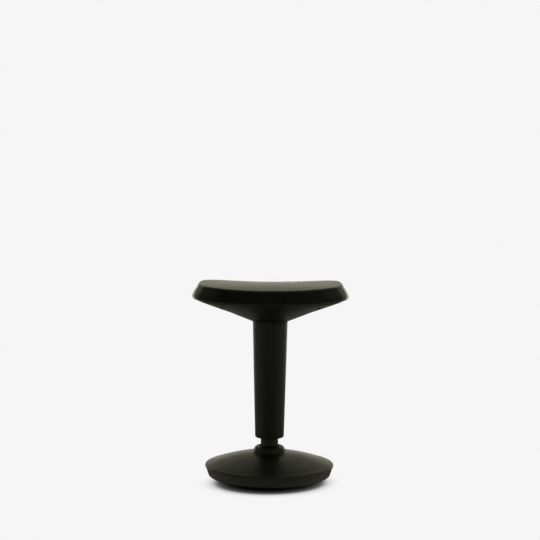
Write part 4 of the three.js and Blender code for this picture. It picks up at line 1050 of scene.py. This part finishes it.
quarter = np.linspace(0, np.pi / 2, 6)
paddle_rings = [
    *[paddle_ring(paddle_rounding, 0, share) for share in np.linspace(0, 1, 44)],
    *[paddle_ring(paddle_rounding * (1 - math.sin(turn)), paddle_rounding * (1 - math.cos(turn)))
      for turn in quarter[1:]],
    paddle_ring(0, paddle_thickness - paddle_bevel),
    *[paddle_ring(paddle_bevel, paddle_thickness, share) for share in (1, 0.66, 0.33, 0)],
]
paddle_faces = skin_faces(len(paddle_rings), paddle_steps, False)
paddle = new_piece("paddle_moulding", np.array(paddle_rings), paddle_faces, moulded_black)
sleeve_plan = box_plan((-7.6, 126), (7.6, 143.6), 1.2)
lever_plan = box_plan((-5.3, 110), (5.3, 141.3), 0.3)
combine(paddle, [prism(sleeve_plan, slope_height(*sleeve_plan.T) + sleeve_lift, sleeve_top)], "UNION")
combine(paddle, [prism(lever_plan, *lever_slot_span)], "DIFFERENCE")
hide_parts("lever_paddle")
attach(paddle, "lever")
dress(zinc_plated, "release_lever", "lever_pivot_pin")


# Seat board and plate
# A plywood board with four tee nuts pressed into it, and the enamelled steel plate with the taper
# socket bolted up under it.
veneer_pair = 0.00333
pale_veneer = (0.5, 0.33, 0.16, 1)
brown_fibre = (0.34, 0.2, 0.085, 1)
crossed_tint = (0.72, 0.66, 0.6, 1)


def plywood():
    """Birch veneers: their colour alternates with height, twice in each pair's thickness in metres,
    and their grain is noise drawn out along the board, turned across it in every other veneer."""
    material, work = bare_material("birch_plywood")
    place = work.add("TexCoord").outputs["Object"]
    height = work.add("SeparateXYZ", {0: place}).outputs["Z"]
    layer = work.sum_of("SINE", work.sum_of("MULTIPLY", height, 2 * math.pi / veneer_pair))
    crossed = work.smooth_step(layer, -0.15, 0.15)
    tones = []
    for stretch in ((9, 130, 130), (130, 9, 130)):
        drawn = work.add("Mapping", {"Vector": place, "Scale": stretch}).outputs[0]
        fibre_inputs = {"Vector": drawn, "Scale": 3, "Detail": 6, "Distortion": 0.6}
        tones.append(work.add("TexNoise", fibre_inputs).outputs["Fac"])
    fibre = work.add("Mix", {0: crossed, 2: tones[0], 3: tones[1]}).outputs[0]
    wood = work.add("ValToRGB", {"Fac": fibre})
    for mark, position, colour in zip(wood.color_ramp.elements, (0.3, 0.7), (brown_fibre, pale_veneer)):
        mark.position, mark.color = position, colour
    tinted = work.mixed(crossed, wood.outputs["Color"], crossed_tint, blend_type="MULTIPLY")
    rough = work.add("MapRange", {"Value": fibre, "To Min": 0.55, "To Max": 0.75})
    bump = work.add("Bump", {"Height": fibre, "Distance": 0.0001})
    shader = work.add("BsdfPrincipled", {
        "Base Color": tinted, "Roughness": rough.outputs[0], "Normal": bump.outputs["Normal"]})
    work.add("OutputMaterial", {"Surface": shader.outputs[0]})
    return material


dress(plywood(), "seat_board")
dress(enamelled_steel, "seat_plate")
dress(zinc_plated, *numbered("plate_bolt"), *numbered("tee_nut"))


# Seat pad
# Self-skinned foam moulded over the board: a saddle top with a firm rounded edge, sides that flare
# down to a rolled lip, and a flat underside that rests on the shell.
edge_height = 565.8
edge_rise = 9.8
seat_crown = 4
top_inset = 26
lip_width = 7
lip_drop = 4.5
side_height = 36.6
board_recess_inset = 30.6
board_recess_top = 542.3
pad_black = (0.0052, 0.0052, 0.0042, 1)
edge_line = rising(edge_height, edge_rise)
lip_shares = np.array([[1, -1], [0.42, -1], [0.12, -0.72], [0.02, -0.34]])
side_shares = np.array([
    [0, 0], [0.09, 0.2], [0.26, 0.44], [0.52, 0.76], [0.645, 0.914], [0.79, 0.985], [1, 1],
])


def through(points, steps):
    """A smooth curve through all the points: between two of them a cubic whose slope at each point
    is that of the line between its neighbours."""
    points = np.array(points, float)
    reach = np.append(0, np.cumsum(np.hypot(*np.diff(points, axis=0).T)))
    slope = np.gradient(points, reach, axis=0)
    at = np.linspace(0, reach[-1], steps)
    part = np.clip(np.searchsorted(reach, at, side="right") - 1, 0, len(reach) - 2)
    span = (reach[part + 1] - reach[part])[:, None]
    t = (at - reach[part])[:, None] / span
    start, end = points[part], points[part + 1]
    return (start * (1 + 2 * t) * (1 - t) ** 2 + end * t**2 * (3 - 2 * t)
            + span * (slope[part] * t * (1 - t) ** 2 - slope[part + 1] * t**2 * (1 - t)))


def pad_ring(inset, rise):
    """A ring of the pad's side: the section's rise, stretched at each place to the height between
    the underside and the lip's widest line below it, and between that and the edge above it."""
    if rise < 0:
        return plan_ring(inset, lambda x: lip_line(x) + rise / lip_drop * (lip_line(x) - lip_foot(x)))
    return plan_ring(inset, lambda x: lip_line(x) + rise / side_height * (edge_line(x) - lip_line(x)))


def top_ring(share):
    """A ring of the saddle top, scaled towards the middle, crowned by 1-(1-s)^2 of the way in."""
    ring = plan_ring(top_inset, edge_line)
    x, y = ring[:, 0] * (1 - share), ring[:, 1] * (1 - share)
    return np.stack([x, y, edge_line(x) + seat_crown * (1 - (1 - share) ** 2)], 1)


pad_section = through([*lip_shares * [lip_width, lip_drop], *side_shares * [top_inset, side_height]], 70)
recess_roof = plan_ring(board_recess_inset, rising(board_recess_top, 0))
pad_points = np.array([
    *[drawn_in(recess_roof, share) for share in (0, 0.5, 0.97, 1)],
    plan_ring(board_recess_inset, lip_foot),
    *[pad_ring(inset, rise) for inset, rise in pad_section],
    *[top_ring(share) for share in np.linspace(0, 1, 42)[1:]],
])
foam_skin = finish("foam_skin", pad_black, 0.27, grain=0.8, depth=0.006, variation=0.05, dust=0.01)
pad = new_piece("pad_foam", pad_points, skin_faces(*pad_points.shape[:2], closed_rows=False), foam_skin)
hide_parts("seat_pad")
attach(pad, "seat")
